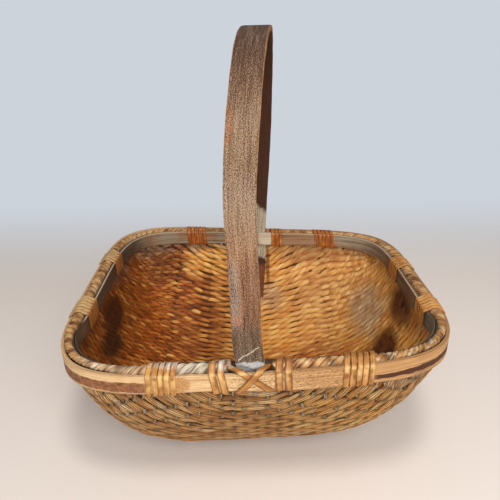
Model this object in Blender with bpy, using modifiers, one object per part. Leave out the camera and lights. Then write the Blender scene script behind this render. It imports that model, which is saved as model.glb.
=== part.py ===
# Gathering basket: a boat-shaped bowl of willow rods, held at the rim between
# bentwood hoops, with a rod plait along the top and a bentwood hoop handle that
# stands between the hoops. Flat cane is wound round the rim to bind it all.
# Metres, +Z up. X is the long side, -Y is the front. The origin is on the ground
# under the middle of the basket.
import math

import bmesh
import bpy
import numpy as np
from mathutils import Matrix, Vector

# Driving dimensions: plan and bowl
basket_length = 0.460
basket_width = 0.400
rim_height = 0.188
plan_power = 4.8
rim_warp = 0.0105
rim_end_rise = 0.0026
rim_side_rise = 0.0017
wall_thickness = 0.0060
row_relief = 0.0018
row_spacing = 0.0093
front_row_sag = 0.33
back_row_sag = 0.16
row_tilt = 0.05
wall_skirt = 0.0220
bowl_power = 3.5
flank_power = 1.2
bowl_lean = 0.07
foot_flat = 0.0040

# Driving dimensions: hoops and plait
outer_hoop_height = 0.0240
outer_hoop_thickness = 0.0040
inner_hoop_height = 0.0210
inner_hoop_thickness = 0.0022
liner_thickness = 0.0022
liner_tip_thickness = 0.0008
liner_overlap = 0.0500
liner_tip_place = 0.0100
liner_tip_trim = 0.0052
hoop_edge_round = 0.0008
plait_diameter = 0.0115
plait_rise = 0.0010
plait_end_gap = 0.0095

# Driving dimensions: handle
handle_width = 0.0315
handle_thickness = 0.0062
handle_rise = 0.3260
handle_power = 2.8
handle_tail = 0.1180
tail_tip_thickness = 0.0025
tail_tip_width = 0.0220
tail_taper_length = 0.0600
front_foot_place = -0.0030
front_sway = -0.0075
top_sway = 0.0105
back_sway = 0.0155
back_foot_place = 0.0040
handle_edge_round = 0.0012

# Driving dimensions: flat cane
cane_width = 0.0056
cane_thickness = 0.0012
cane_pitch = 0.0066
foot_lashing_gap = 0.0098
cross_side_gap = 0.0012
cross_foot_gap = 0.0030
cross_edge_reach = 0.0105
cross_tuck_depth = 0.0070

# Clearances
fit_gap = 0.0003
cane_gap = 0.0004
slot_clearance = 0.0008
plait_gap = 0.0006
tail_clearance = 0.0008

# Counts that set the fineness of the mesh
row_stations = 18
section_stations = 400
ring_stations = 88
arch_stations = 26
tail_stations = 9
plait_stations = 34
liner_stations = 100
wall_line_stations = 88
cross_face_stations = 7

# Each rim lashing: name, side, place along that side from its middle, turns
rim_lashings = [
    ("front_left_lashing", "front", -0.0950, 5),
    ("front_right_lashing", "front", 0.1100, 5),
    ("back_left_lashing", "back", -0.0990, 5),
    ("back_right_lashing", "back", 0.1185, 5),
    ("left_front_lashing", "left", -0.0620, 6),
    ("left_back_lashing", "left", 0.0730, 5),
    ("right_front_lashing", "right", -0.0800, 6),
    ("right_back_lashing", "right", 0.0505, 6),
]
foot_turns = {"front": 2, "back": 3}

# Layers of the rim, as distances inward from the outer face of the outer hoop
half_length = basket_length / 2
half_width = basket_width / 2
wall_outer = outer_hoop_thickness + fit_gap
wall_inner = wall_outer + wall_thickness
strap_outer = wall_inner + fit_gap
strap_inner = strap_outer + handle_thickness
inner_hoop_outer = strap_inner + fit_gap
inner_hoop_inner = inner_hoop_outer + inner_hoop_thickness
liner_outer = inner_hoop_inner + fit_gap
rim_inner = liner_outer + liner_thickness
scarf_step = liner_tip_thickness + fit_gap
plait_middle = (outer_hoop_thickness + inner_hoop_outer) / 2
wall_top = plait_rise - plait_diameter / 2 - plait_gap
cane_offset = cane_gap + cane_thickness / 2
cross_top_reach = handle_width / 2 + cane_width / 2 + cross_side_gap
cross_foot_reach = handle_width / 2 + foot_lashing_gap - cane_width / 2 - cross_foot_gap

basket = bpy.data.collections.new("gathering_basket")
cutters = bpy.data.collections.new("cutters")


def clear_scene():
    for item in list(bpy.data.objects):
        bpy.data.objects.remove(item, do_unlink=True)
    bpy.context.scene.collection.children.link(basket)
    bpy.context.scene.collection.children.link(cutters)


def paint(obj, name, colour, roughness):
    material = bpy.data.materials.new(name)
    material.use_nodes = True
    shader = material.node_tree.nodes["Principled BSDF"]
    shader.inputs["Base Color"].default_value = (*colour, 1.0)
    shader.inputs["Roughness"].default_value = roughness
    shader.inputs["Metallic"].default_value = 0.0
    obj.data.materials.append(material)
    material.diffuse_color = (*colour, 1.0)


def add_object(name, bm, collection=None):
    mesh = bpy.data.meshes.new(name)
    bm.to_mesh(mesh)
    bm.free()
    obj = bpy.data.objects.new(name, mesh)
    (collection or basket).objects.link(obj)
    return obj


def smooth_sides(obj, angle=40):
    obj.data.shade_smooth()
    obj.data.set_sharp_from_angle(angle=math.radians(angle))


# Plan of the basket: a rounded square stretched to the basket's two sizes
def plan_unit(u, v):
    across = 1 - abs(v) ** plan_power / 2
    along = 1 - abs(u) ** plan_power / 2
    return u * across ** (1 / plan_power), v * along ** (1 / plan_power)


def rim_z(x, y):
    # the rim is slightly warped: two opposite corners stand higher
    end = abs(x) / half_length
    side = abs(y) / half_width
    lift = rim_end_rise * end ** 2.5 + rim_side_rise * side ** 2.5
    twist = rim_warp * (x / half_length) * (y / half_width)
    return rim_height + lift - twist


def ring_point(step, stations, inset, drop=0.0):
    # walks the rim counter-clockwise from the middle of the back
    place = (step / stations * 4 + 0.5) % 4
    edge = int(place)
    along = (place - edge) * 2 - 1
    corners = [(-along, 1), (-1, -along), (along, -1), (1, along)]
    x, y = plan_unit(*corners[edge])
    x *= half_length - inset
    y *= half_width - inset
    return Vector((x, y, rim_z(x, y) + drop))


def side_reach(place, reach, span, inset):
    share = min(abs(place) / (span - inset), 0.999)
    return (reach - inset) * (1 - share ** plan_power) ** (1 / plan_power)


def rim_place(side, place, inset, drop):
    if side in ("front", "back"):
        x = place
        y = side_reach(place, half_width, half_length, inset)
        y = -y if side == "front" else y
    else:
        x = side_reach(place, half_length, half_width, inset)
        x = -x if side == "left" else x
        y = place
    return Vector((x, y, rim_z(x, y) + drop))


def rim_tangent(side, place):
    ahead = rim_place(side, place + fit_gap, 0, 0)
    behind = rim_place(side, place - fit_gap, 0, 0)
    return (ahead - behind).normalized()


# Woven bowl: a ribbed shell, one rib for each row of twined rods
def bowl_depth_at(unit_x, rho):
    drop = rim_height + foot_flat - wall_skirt
    share = max(0.0, 1 - rho ** bowl_power) ** (1 / flank_power)
    return wall_skirt + drop * (1 - bowl_lean * unit_x) * share


def bowl_point(u, v, inset):
    unit_x, unit_y = plan_unit(u, v)
    rho = (abs(unit_x) ** plan_power + abs(unit_y) ** plan_power) ** (1 / plan_power)
    x = unit_x * (half_length - inset)
    y = unit_y * (half_width - inset)
    local_rim = rim_height + (rim_z(x, y) - rim_height) * min(rho, 1.0) ** 2
    return Vector((x, y, local_rim - bowl_depth_at(unit_x, min(rho, 1.0))))


def eased(step, count):
    return math.sin((step / count - 0.5) * math.pi)


def row_levels():
    # the backs of the rows and the furrows between them, by turns, at even
    # distances along the middle section of the basket
    values = np.linspace(-1, 1, section_stations)
    points = [bowl_point(0, value, wall_outer) for value in values]
    steps = [(after - before).length for before, after in zip(points, points[1:])]
    walked = np.concatenate([[0.0], np.cumsum(steps)])
    half_rows = round(walked[-1] / row_spacing) * 2
    return np.interp(np.linspace(0, walked[-1], half_rows + 1), walked, values)


def row_place(level, u):
    # a row climbs to the nearer long side towards its ends, and runs out at the rim
    sag = front_row_sag if level < 0 else back_row_sag
    place = level + sag * level * abs(level) * u * u + row_tilt * max(level, 0.0) * u
    return min(max(place, -1.0), 1.0)


def add_woven_body():
    levels = row_levels()
    half_rows = len(levels) - 1
    bm = bmesh.new()
    bmesh.ops.create_grid(bm, x_segments=row_stations, y_segments=half_rows, size=1.0)
    furrows = []
    for vert in bm.verts:
        station = round((vert.co.x + 1) / 2 * row_stations)
        half_row = round((vert.co.y + 1) / 2 * half_rows)
        u = eased(station, row_stations)
        v = row_place(levels[half_row], u)
        vert.co = bowl_point(u, v, wall_outer)
        if half_row % 2 == 0 and abs(v) < 1:
            furrows.append(vert)
    bmesh.ops.recalc_face_normals(bm, faces=bm.faces)
    bm.normal_update()
    if sum(face.normal.z for face in bm.faces) > 0:
        bmesh.ops.reverse_faces(bm, faces=bm.faces)
        bm.normal_update()
    # the furrow between two rows lies inward of the rows' backs
    moves = [(vert, vert.normal.copy()) for vert in furrows]
    for vert, normal in moves:
        vert.co -= normal * row_relief
    bmesh.ops.remove_doubles(bm, verts=bm.verts, dist=fit_gap / 10)
    # the bowl stands on a trodden flat
    for vert in bm.verts:
        vert.co.z = max(vert.co.z, 0.0)
    border = [edge for edge in bm.edges if edge.is_boundary]
    raised = bmesh.ops.extrude_edge_only(bm, edges=border)["geom"]
    collar = [item for item in raised if isinstance(item, bmesh.types.BMVert)]
    bmesh.ops.translate(bm, verts=collar, vec=(0, 0, wall_skirt + wall_top))
    bmesh.ops.recalc_face_normals(bm, faces=bm.faces)
    bm.normal_update()
    lowest = min(bm.faces, key=lambda face: face.calc_center_median().z)
    if lowest.normal.z > 0:
        bmesh.ops.reverse_faces(bm, faces=bm.faces)
    body = add_object("woven_body", bm)
    shell = body.modifiers.new("wall", "SOLIDIFY")
    shell.thickness = wall_thickness - row_relief
    shell.offset = -1
    shell.use_even_offset = False
    smooth_sides(body, 50)
    paint(body, "willow rods", (0.42, 0.24, 0.10), 0.6)
    return body


# Slots where the rods are parted and the cane passes through the wall
def slot_heights():
    low = -(outer_hoop_height + cane_offset + cane_thickness / 2 + slot_clearance)
    high = low + cane_thickness + slot_clearance * 2
    return low, high + (outer_hoop_height - inner_hoop_height) / 2


def add_slot(body, side, start, end):
    low, high = slot_heights()
    middle = (start + end) / 2
    tangent = rim_tangent(side, middle)
    depth = rim_inner
    inner = rim_place(side, middle, depth, 0)
    outer = rim_place(side, middle, 0, 0)
    up = tangent.cross(inner - outer).normalized()
    if up.z < 0:
        up = -up
    centre = (inner + outer) / 2
    centre.z = outer.z + (low + high) / 2
    bm = bmesh.new()
    bmesh.ops.create_cube(bm, size=1.0)
    bmesh.ops.scale(bm, verts=bm.verts, vec=(end - start, depth, high - low))
    axes = Matrix((tangent, up.cross(tangent), up)).transposed()
    bmesh.ops.rotate(bm, verts=bm.verts, cent=(0, 0, 0), matrix=axes)
    bmesh.ops.translate(bm, verts=bm.verts, vec=centre)
    cutter = add_object("slot_" + side, bm, cutters)
    cutter.hide_render = True
    cutter.display_type = "WIRE"
    cut = body.modifiers.new("slot", "BOOLEAN")
    cut.operation = "DIFFERENCE"
    cut.solver = "EXACT"
    cut.object = cutter


def group_half(turns):
    return (turns - 1) * cane_pitch / 2 + cane_width / 2


def foot_place(side):
    return front_foot_place if side == "front" else back_foot_place


def foot_lashing_place(side, hand):
    reach = handle_width / 2 + foot_lashing_gap
    reach += group_half(foot_turns[side]) + cane_pitch / 2
    return foot_place(side) + hand * reach


def cut_slots(body):
    margin = cane_pitch / 2 + slot_clearance
    for name, side, place, turns in rim_lashings:
        half = group_half(turns) + margin
        add_slot(body, side, place - half, place + half)
    for side in ("front", "back"):
        for hand in (-1, 1):
            far = foot_lashing_place(side, hand) + hand * (group_half(foot_turns[side]) + margin)
            near = foot_place(side) + hand * (cross_foot_reach - cane_width - slot_clearance)
            add_slot(body, side, min(near, far), max(near, far))


# Closed bentwood bands: a rim line drawn down, given its thickness and soft edges
def add_band(name, inset, height, thickness, edge_round, colour):
    bm = bmesh.new()
    line = [bm.verts.new(ring_point(step, ring_stations, inset)) for step in range(ring_stations)]
    edges = [bm.edges.new((line[step], line[(step + 1) % ring_stations]))
             for step in range(ring_stations)]
    drawn = bmesh.ops.extrude_edge_only(bm, edges=edges)["geom"]
    lower = [item for item in drawn if isinstance(item, bmesh.types.BMVert)]
    bmesh.ops.translate(bm, verts=lower, vec=(0, 0, -height))
    bmesh.ops.recalc_face_normals(bm, faces=bm.faces)
    bm.normal_update()
    face = max(bm.faces, key=lambda item: item.calc_center_median().x)
    if face.normal.x < 0:
        bmesh.ops.reverse_faces(bm, faces=bm.faces)
    band = add_object(name, bm)
    solid = band.modifiers.new("thickness", "SOLIDIFY")
    solid.thickness = thickness
    solid.offset = -1
    solid.use_even_offset = True
    if edge_round:
        soft = band.modifiers.new("worn edges", "BEVEL")
        soft.width = min(edge_round, thickness / 3)
        soft.segments = 1
        soft.limit_method = "ANGLE"
        soft.angle_limit = math.radians(60)
    smooth_sides(band)
    paint(band, name + " wood", colour, 0.65)


# Strips: sections joined one to the next, with flat ends
def add_loft(name, sections, colour, roughness):
    bm = bmesh.new()
    rings = [[bm.verts.new(point) for point in section] for section in sections]
    sides = len(rings[0])
    for first, second in zip(rings, rings[1:]):
        for side in range(sides):
            after = (side + 1) % sides
            bm.faces.new((first[side], first[after], second[after], second[side]))
    bm.faces.new(list(reversed(rings[0])))
    bm.faces.new(rings[-1])
    bmesh.ops.recalc_face_normals(bm, faces=bm.faces)
    strip = add_object(name, bm)
    smooth_sides(strip)
    paint(strip, name + " finish", colour, roughness)
    return strip


# Liner of the inner hoop: one strip that runs once round and laps over itself,
# both ends shaved thin
def liner_section(step, total):
    once_round = basket_length * 2 + basket_width * 2
    from_start = step / total * (once_round + liner_overlap)
    from_end = once_round + liner_overlap - from_start
    place = back_ring_step(liner_tip_place) - from_start / once_round * ring_stations
    settle = liner_overlap / 5
    full_lift = liner_thickness + fit_gap
    tip_share = min(from_start, from_end, liner_overlap) / liner_overlap
    thick = liner_tip_thickness + (liner_thickness - liner_tip_thickness) * tip_share
    if from_start < liner_overlap:
        outer_face = full_lift + (scarf_step - full_lift) * tip_share
    else:
        outer_face = scarf_step * max(0.0, 1 - (from_start - liner_overlap) / settle)
    trim = max(0.0, 1 - min(from_start, from_end) / liner_tip_trim)
    shave = liner_tip_trim * trim ** 2
    near = liner_outer + outer_face
    far = near + thick
    return [
        ring_point(place, ring_stations, near, -shave),
        ring_point(place, ring_stations, far, -shave),
        ring_point(place, ring_stations, far, shave - inner_hoop_height),
        ring_point(place, ring_stations, near, shave - inner_hoop_height),
    ]


def back_ring_step(x):
    # the step of ring_point that lies at x on the back of the rim
    flat = (half_length - liner_outer) * 0.5 ** (1 / plan_power)
    return -x / flat / 2 / 4 * ring_stations


def add_liner():
    # closer sections at both ends, where the tips are rounded off
    last = liner_stations
    steps = [0, 0.35, 0.7] + list(range(1, last)) + [last - 0.7, last - 0.35, last]
    sections = [liner_section(step, last) for step in steps]
    add_loft("inner_hoop_liner", sections, (0.44, 0.40, 0.34), 0.7)


# Plait of rods on the rim, in two runs that stop beside the handle's feet
def add_tube(name, points, diameter, colour):
    curve = bpy.data.curves.new(name, "CURVE")
    curve.dimensions = "3D"
    curve.bevel_depth = diameter / 2
    curve.bevel_resolution = 2
    curve.use_fill_caps = True
    spline = curve.splines.new("POLY")
    spline.points.add(len(points) - 1)
    for item, point in zip(spline.points, points):
        item.co = (*point, 1.0)
    tube = bpy.data.objects.new(name, curve)
    basket.objects.link(tube)
    paint(tube, name + " rods", colour, 0.75)


def add_plaits():
    for name, hand in (("rim_plait_left", -1), ("rim_plait_right", 1)):
        reach = handle_width / 2 + plait_end_gap
        start = foot_place("back") + hand * reach
        end = foot_place("front") + hand * reach
        unit = (half_length - plait_middle) * 0.5 ** (1 / plan_power)
        first = -start / unit / 8
        last = 0.5 + end / unit / 8
        if hand > 0:
            last -= 1
        points = []
        for step in range(plait_stations + 1):
            share = first + (last - first) * step / plait_stations
            points.append(ring_point(share, 1, plait_middle, plait_rise))
        add_tube(name, points, plait_diameter, (0.50, 0.36, 0.19))


# Handle: one bent strap whose tails lie down the inside of the wall
def wall_line(clearance):
    # the inner face of the wall at mid-length, from the rim down, on the back
    points = []
    for step in range(wall_line_stations // 2):
        v = eased(wall_line_stations - step, wall_line_stations)
        points.append(bowl_point(0, v, wall_outer))
    line = []
    for before, point, after in zip(points, points[1:], points[2:]):
        along = (after - before).normalized()
        inward = Vector((0, along.z, -along.y))
        if inward.y > 0:
            inward = -inward
        line.append(point + inward * (wall_thickness + clearance))
    return line


def tail_line():
    # outer face of one tail, bottom first, as reach from the middle and height
    start = Vector((0, half_width - strap_outer, rim_height - wall_skirt))
    line = [start]
    for point in wall_line(tail_clearance):
        if point.z < line[-1].z - 0.002 and point.y < start.y:
            line.append(point)
    walked = wall_skirt
    cut = []
    for before, after in zip(line, line[1:]):
        stretch = (after - before).length
        if walked + stretch > handle_tail:
            share = (handle_tail - walked) / stretch
            cut.append(before.lerp(after, share))
            break
        walked += stretch
        cut.append(after)
    picked = [cut[round(step * (len(cut) - 1) / (tail_stations - 1))]
              for step in range(tail_stations)]
    return [(point.y, point.z) for point in reversed(picked)]


def strap_path():
    reach = half_width - strap_outer
    tail = tail_line()
    leg = [(reach, rim_height - wall_skirt), (reach, rim_height - wall_skirt / 2)]
    arch = []
    for step in range(arch_stations + 1):
        turn = math.pi * step / arch_stations
        side = math.copysign(abs(math.cos(turn)) ** (2 / handle_power), math.cos(turn))
        lift = abs(math.sin(turn)) ** (2 / handle_power)
        arch.append((-reach * side, rim_height + handle_rise * lift))
    front = [(-y, z) for y, z in tail + leg]
    back = [(y, z) for y, z in reversed(tail + leg)]
    return front + arch + back, len(tail + leg)


def sway(share):
    # sideways bow of the strap: a smooth line through five places
    marks = (0.0, 0.25, 0.5, 0.75, 1.0)
    values = (front_foot_place, front_sway, top_sway, back_sway, back_foot_place)
    total = 0.0
    for here, value in zip(marks, values):
        weight = 1.0
        for other in marks:
            if other != here:
                weight *= (share - other) / (here - other)
        total += weight * value
    return total


def add_handle():
    path, foot_count = strap_path()
    lengths = [0.0]
    for before, after in zip(path, path[1:]):
        lengths.append(lengths[-1] + math.dist(before, after))
    arch_start = lengths[foot_count]
    arch_end = lengths[len(path) - 1 - foot_count]
    sections = []
    for index, (y, z) in enumerate(path):
        before = path[max(index - 1, 0)]
        after = path[min(index + 1, len(path) - 1)]
        along = Vector((0, after[0] - before[0], after[1] - before[1])).normalized()
        inward = Vector((0, along.z, -along.y))
        share = (lengths[index] - arch_start) / (arch_end - arch_start)
        x = sway(min(max(share, 0.0), 1.0))
        tip = min(lengths[index], lengths[-1] - lengths[index]) / tail_taper_length
        tip = min(tip, 1.0)
        thick = tail_tip_thickness + (handle_thickness - tail_tip_thickness) * tip
        wide = tail_tip_width + (handle_width - tail_tip_width) * tip
        sections.append(strap_section(Vector((x, y, z)), inward, thick, wide))
    add_loft("handle", sections, (0.33, 0.20, 0.13), 0.55)


def strap_section(outer, inward, thick, wide):
    across = Vector((1, 0, 0))
    half = wide / 2
    trim = min(handle_edge_round, thick / 3)
    outline = [
        (-half + trim, 0), (half - trim, 0), (half, trim), (half, thick - trim),
        (half - trim, thick), (-half + trim, thick), (-half, thick - trim), (-half, trim),
    ]
    return [outer + across * side + inward * depth for side, depth in outline]


# Cane: a flat strip that follows a line of (place, inset, drop) along one side.
# Its sections lie along the rim, so that it folds square over the hoops' edges
# also where it runs slantwise.
def cane_sections(side, line):
    points = [rim_place(side, *item) for item in line]
    middle = rim_place(side, line[0][0], rim_inner / 2, -outer_hoop_height / 2)
    sections = []
    for index, point in enumerate(points):
        before = points[max(index - 1, 0)]
        after = points[min(index + 1, len(points) - 1)]
        along = (after - before).normalized()
        tangent = rim_tangent(side, line[index][0])
        outward = tangent.cross(along).normalized()
        if outward.dot(point - middle) < 0:
            outward = -outward
        slant = along.dot(tangent)
        across = tangent * cane_width / 2 / math.sqrt(1 - slant ** 2)
        lift = outward * cane_thickness / 2
        sections.append([
            point - across - lift, point + across - lift,
            point + across + lift, point - across + lift,
        ])
    return sections


def loop_profile(extra=0.0):
    # one turn round the rim as (inset, drop), from the inside bottom outward
    bow = plait_diameter / 2 + cane_offset
    angles = [150, 110, 70, 30]
    arc = bow / math.cos(math.radians((angles[0] - angles[1]) / 2)) + cane_gap
    top = [(plait_middle + arc * math.cos(math.radians(angle)),
            plait_rise + arc * math.sin(math.radians(angle))) for angle in angles]
    inner = rim_inner + cane_offset + extra
    under = cane_offset + cane_gap
    return [
        (wall_outer, -outer_hoop_height - under),
        (hoop_edge_round / 2, -outer_hoop_height - under),
        (-cane_offset, -outer_hoop_height - cane_gap),
        (-cane_offset, 0.0),
        *top,
        (inner, cane_offset / 2),
        (inner, -inner_hoop_height),
        (inner - cane_offset, -inner_hoop_height - under),
    ]


def add_winding(name, side, place, turns, extra=0.0):
    profile = loop_profile(extra)
    count = len(profile)
    line = []
    first = place - (turns - 1) * cane_pitch / 2
    inside = (strap_outer + strap_inner) / 2
    low = -(outer_hoop_height + inner_hoop_height) / 2 - cane_offset - cane_gap
    line.append((first - cane_pitch / 2, inside, low))
    for turn in range(turns):
        for index, (inset, drop) in enumerate(profile):
            along = first + cane_pitch * (turn + (index + 1) / (count + 1) - 0.5)
            line.append((along, inset, drop))
    line.append((first + cane_pitch * (turns - 0.5), inside, low))
    add_loft(name, cane_sections(side, line), (0.62, 0.38, 0.14), 0.45)
    spread = [rim_place(side, *item) for item in line]
    gaps = [(spread[index + count] - spread[index]).length - cane_width
            for index in range(1, len(spread) - count - 1)]
    print(name, "least gap between turns (mm)", round(min(gaps) * 1000, 2))


def add_cross(side, over):
    # one diagonal of the cross at a foot: tucked in beside the strap, over the
    # outer hoop, and down into the slot on the other side
    hand = 1 if over else -1
    middle = foot_place(side)
    top = middle + hand * cross_top_reach
    edge = middle + hand * cross_edge_reach
    low = middle - hand * cross_foot_reach
    inside = (strap_outer + strap_inner) / 2
    lift = cane_thickness + cane_gap if over else 0.0
    above = cane_offset + cane_gap
    down = -outer_hoop_height - cane_offset - cane_gap
    line = [
        (top, inside, -cross_tuck_depth),
        (top, inside, wall_top + cane_offset),
        (top, strap_outer, above),
        ((top + edge) / 2, strap_outer / 2, above),
        (edge, hoop_edge_round / 2, above),
    ]
    face_height = outer_hoop_height + cane_gap - hoop_edge_round
    last = cross_face_stations - 1
    for index in range(cross_face_stations):
        share = (index + 0.5) / cross_face_stations
        # the upper strip rides over the lower one between its two folds
        bulge = math.sin(share * math.pi) ** 0.5 if 0 < index < last else 0.0
        drop = -hoop_edge_round - face_height * index / last
        line.append((edge + (low - edge) * share, -cane_offset - lift * bulge, drop))
    line.append((low, hoop_edge_round / 2, down))
    line.append((low, wall_outer + wall_thickness / 2, down))
    kind = "over" if over else "under"
    add_loft(side + "_cross_" + kind, cane_sections(side, line), (0.60, 0.36, 0.13), 0.45)


clear_scene()
woven_body = add_woven_body()
cut_slots(woven_body)
add_band("outer_hoop", 0.0, outer_hoop_height, outer_hoop_thickness, hoop_edge_round,
         (0.60, 0.46, 0.29))
add_band("inner_hoop", inner_hoop_outer, inner_hoop_height, inner_hoop_thickness, 0.0,
         (0.40, 0.36, 0.31))
add_liner()
add_plaits()
add_handle()
for lashing_name, lashing_side, lashing_place, lashing_turns in rim_lashings:
    add_winding(lashing_name, lashing_side, lashing_place, lashing_turns)
for foot_side in ("front", "back"):
    for hand_name, foot_hand in (("left", -1), ("right", 1)):
        over_scarf = scarf_step if (foot_side, foot_hand) == ("back", 1) else 0.0
        add_winding(foot_side + "_foot_lashing_" + hand_name, foot_side,
                    foot_lashing_place(foot_side, foot_hand), foot_turns[foot_side],
                    over_scarf)
    add_cross(foot_side, over=False)
    add_cross(foot_side, over=True)
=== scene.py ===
import math
from functools import reduce

import bmesh
import bpy
import numpy as np
from mathutils import Matrix, Vector


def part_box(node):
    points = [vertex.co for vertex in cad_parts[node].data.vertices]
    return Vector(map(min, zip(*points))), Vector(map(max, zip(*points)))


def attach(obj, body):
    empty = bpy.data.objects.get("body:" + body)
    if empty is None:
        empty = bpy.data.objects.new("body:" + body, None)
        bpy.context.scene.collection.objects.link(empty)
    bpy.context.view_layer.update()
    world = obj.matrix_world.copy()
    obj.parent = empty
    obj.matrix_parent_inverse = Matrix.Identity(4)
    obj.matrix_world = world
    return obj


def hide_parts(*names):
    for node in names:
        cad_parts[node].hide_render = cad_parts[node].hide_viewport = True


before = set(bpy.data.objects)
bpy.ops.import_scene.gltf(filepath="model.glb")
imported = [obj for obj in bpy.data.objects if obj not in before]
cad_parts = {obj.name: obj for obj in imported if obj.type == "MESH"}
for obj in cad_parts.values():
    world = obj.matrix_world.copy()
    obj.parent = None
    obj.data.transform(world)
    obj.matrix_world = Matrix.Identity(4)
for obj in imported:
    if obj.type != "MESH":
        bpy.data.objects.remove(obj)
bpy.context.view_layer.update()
bpy.ops.object.select_all(action="DESELECT")


# Camera. It stands in front of the basket at arm's height and looks down into
# the bowl. The photograph's frame is square, 500 pixels each way.
camera_place = Vector((0.0073, -0.6161, 0.5121))
camera_yaw = -0.0179
camera_down = 0.4195
camera_roll = -0.0242
bpy.ops.object.camera_add(location=camera_place)
camera = bpy.context.active_object
camera.name = "camera"
camera.data.lens = 36.0
camera.data.sensor_width = 36.0
camera.data.clip_start = 0.02
camera.data.clip_end = 20.0
ahead = Vector((math.sin(camera_yaw) * math.cos(camera_down),
                math.cos(camera_yaw) * math.cos(camera_down),
                -math.sin(camera_down)))
level = Vector((math.cos(camera_yaw), -math.sin(camera_yaw), 0.0))
upright = level.cross(ahead)
turned = level * math.cos(camera_roll) + upright * math.sin(camera_roll)
raised = upright * math.cos(camera_roll) - level * math.sin(camera_roll)
camera.matrix_world = Matrix.Translation(camera_place) @ Matrix(
    (turned, raised, -ahead)).transposed().to_4x4()
bpy.context.scene.camera = camera
bpy.context.scene.view_settings.view_transform = "Standard"


# Light and floor. A small soft lamp hangs above and in front, a wide one fills the
# shadows from behind the camera, and the floor is plain and pale.
def shade(red, green, blue):
    """A colour as the eye sees it, 0 to 255, as the linear values that Blender takes."""
    parts = [channel / 255 for channel in (red, green, blue)]
    linear = [part / 12.92 if part <= 0.04045 else ((part + 0.055) / 1.055) ** 2.4
              for part in parts]
    return (*linear, 1.0)


def add_node(tree, kind, inputs=None, **settings):
    """Adds a shader node with its settings, values and links, and gives its outputs."""
    made = tree.nodes.new("ShaderNode" + kind)
    for key, value in settings.items():
        setattr(made, key, value)
    for key, value in (inputs or {}).items():
        if isinstance(value, bpy.types.NodeSocket):
            tree.links.new(value, made.inputs[key])
        else:
            made.inputs[key].default_value = value
    return made.outputs


def add_lamp(name, place, target, size, watts, colour):
    bpy.ops.object.light_add(type="AREA", location=place)
    lamp = bpy.context.active_object
    lamp.name = name
    lamp.data.shape = "DISK"
    lamp.data.size = size
    lamp.data.energy = watts
    lamp.data.color = colour
    aim = Vector(target) - Vector(place)
    lamp.rotation_euler = aim.to_track_quat("-Z", "Y").to_euler()


add_lamp("key_lamp", (0.12, -0.62, 1.55), (0.0, 0.0, 0.12), 0.34, 8.5, (1.0, 0.98, 0.94))
add_lamp("fill_lamp", (0.35, -1.50, 1.00), (0.0, 0.0, 0.10), 1.5, 27.0, (1.0, 0.99, 0.96))

backdrop = shade(205, 211, 219)
world = bpy.data.worlds.new("room")
bpy.context.scene.world = world
world.use_nodes = True
room = world.node_tree
room.nodes.clear()
sky_light = add_node(room, "Background", {"Color": (0.98, 0.98, 1.0, 1.0), "Strength": 0.36})[0]
sky_seen = add_node(room, "Background", {"Color": backdrop, "Strength": 1.0})[0]
looked_at = add_node(room, "LightPath")["Is Camera Ray"]
sky = add_node(room, "MixShader", {0: looked_at, 1: sky_light, 2: sky_seen})[0]
add_node(room, "OutputWorld", {"Surface": sky})

bpy.ops.mesh.primitive_plane_add(size=6.0, location=(0.0, 0.0, -0.0008))
floor = bpy.context.active_object
floor.name = "floor"
floor_paint = bpy.data.materials.new("floor_paint")
floor_paint.use_nodes = True
ground = floor_paint.node_tree
paint = ground.nodes["Principled BSDF"]
paint.inputs["Base Color"].default_value = shade(232, 221, 213)
paint.inputs["Roughness"].default_value = 0.9
paint.inputs["Specular IOR Level"].default_value = 0.1
# far behind the basket the floor fades into the pale room
away = add_node(ground, "SeparateXYZ", {0: add_node(ground, "TexCoord")["Object"]})["Y"]
behind = add_node(ground, "MapRange", {"Value": away, "From Min": 0.30, "From Max": 0.95},
                  interpolation_type="SMOOTHSTEP")[0]
looked_at = add_node(ground, "LightPath")["Is Camera Ray"]
fade = add_node(ground, "Math", {0: behind, 1: looked_at}, operation="MULTIPLY")[0]
haze = add_node(ground, "Emission", {"Color": backdrop, "Strength": 1.0})[0]
faded = add_node(ground, "MixShader", {0: fade, 1: paint.outputs[0], 2: haze})[0]
ground.links.new(faded, ground.nodes["Material Output"].inputs["Surface"])
floor.data.materials.append(floor_paint)


# Willow rows of the bowl. Every row has two layers of fine varnished willow. Inside,
# three thin rods twist round each other. Outside, three flat bundles twist, slant
# both ways from the middle of the basket, and are drawn in by hemp ties.
_, outer_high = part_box("outer_hoop")
half_length = outer_high.x
half_width = outer_high.y
rim_height = 0.188
plan_power = 4.8
rim_warp = 0.0105
rim_end_rise = 0.0026
rim_side_rise = 0.0017
wall_outer = 0.0043
wall_thickness = 0.0060
wall_skirt = 0.0220
bowl_power = 3.5
flank_power = 1.2
bowl_lean = 0.07
foot_flat = 0.0040
row_spacing = 0.0093
cord_spacing = 0.0140
twist_spacing = 0.0155
front_sag = 0.33
back_sag = 0.16
row_tilt = 0.05
row_tuck = 0.0120
outer_stitch = dict(middle=0.0019, orbit=0.0007, slant=0.0021, width=0.0031, waist=0.70,
                    height=0.0010, unevenness=2.1, lean=((-0.2, 0.2), (1, -1)))
inner_stitch = dict(middle=0.0050, orbit=0.0009, slant=0.0027, width=0.0024, waist=0.84,
                    height=0.0009, unevenness=1.2,
                    lean=((-1, -0.8, -0.7, -0.6, -0.5, -0.4, -0.2, -0.05, 0.15, 0.4, 0.47, 0.65, 1),
                          (-0.9, -1.2, -1, -0.5, 0, 0.4, 0.8, -0.7, -0.9, -0.8, 0.5, 0.1, 0)))
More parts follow.
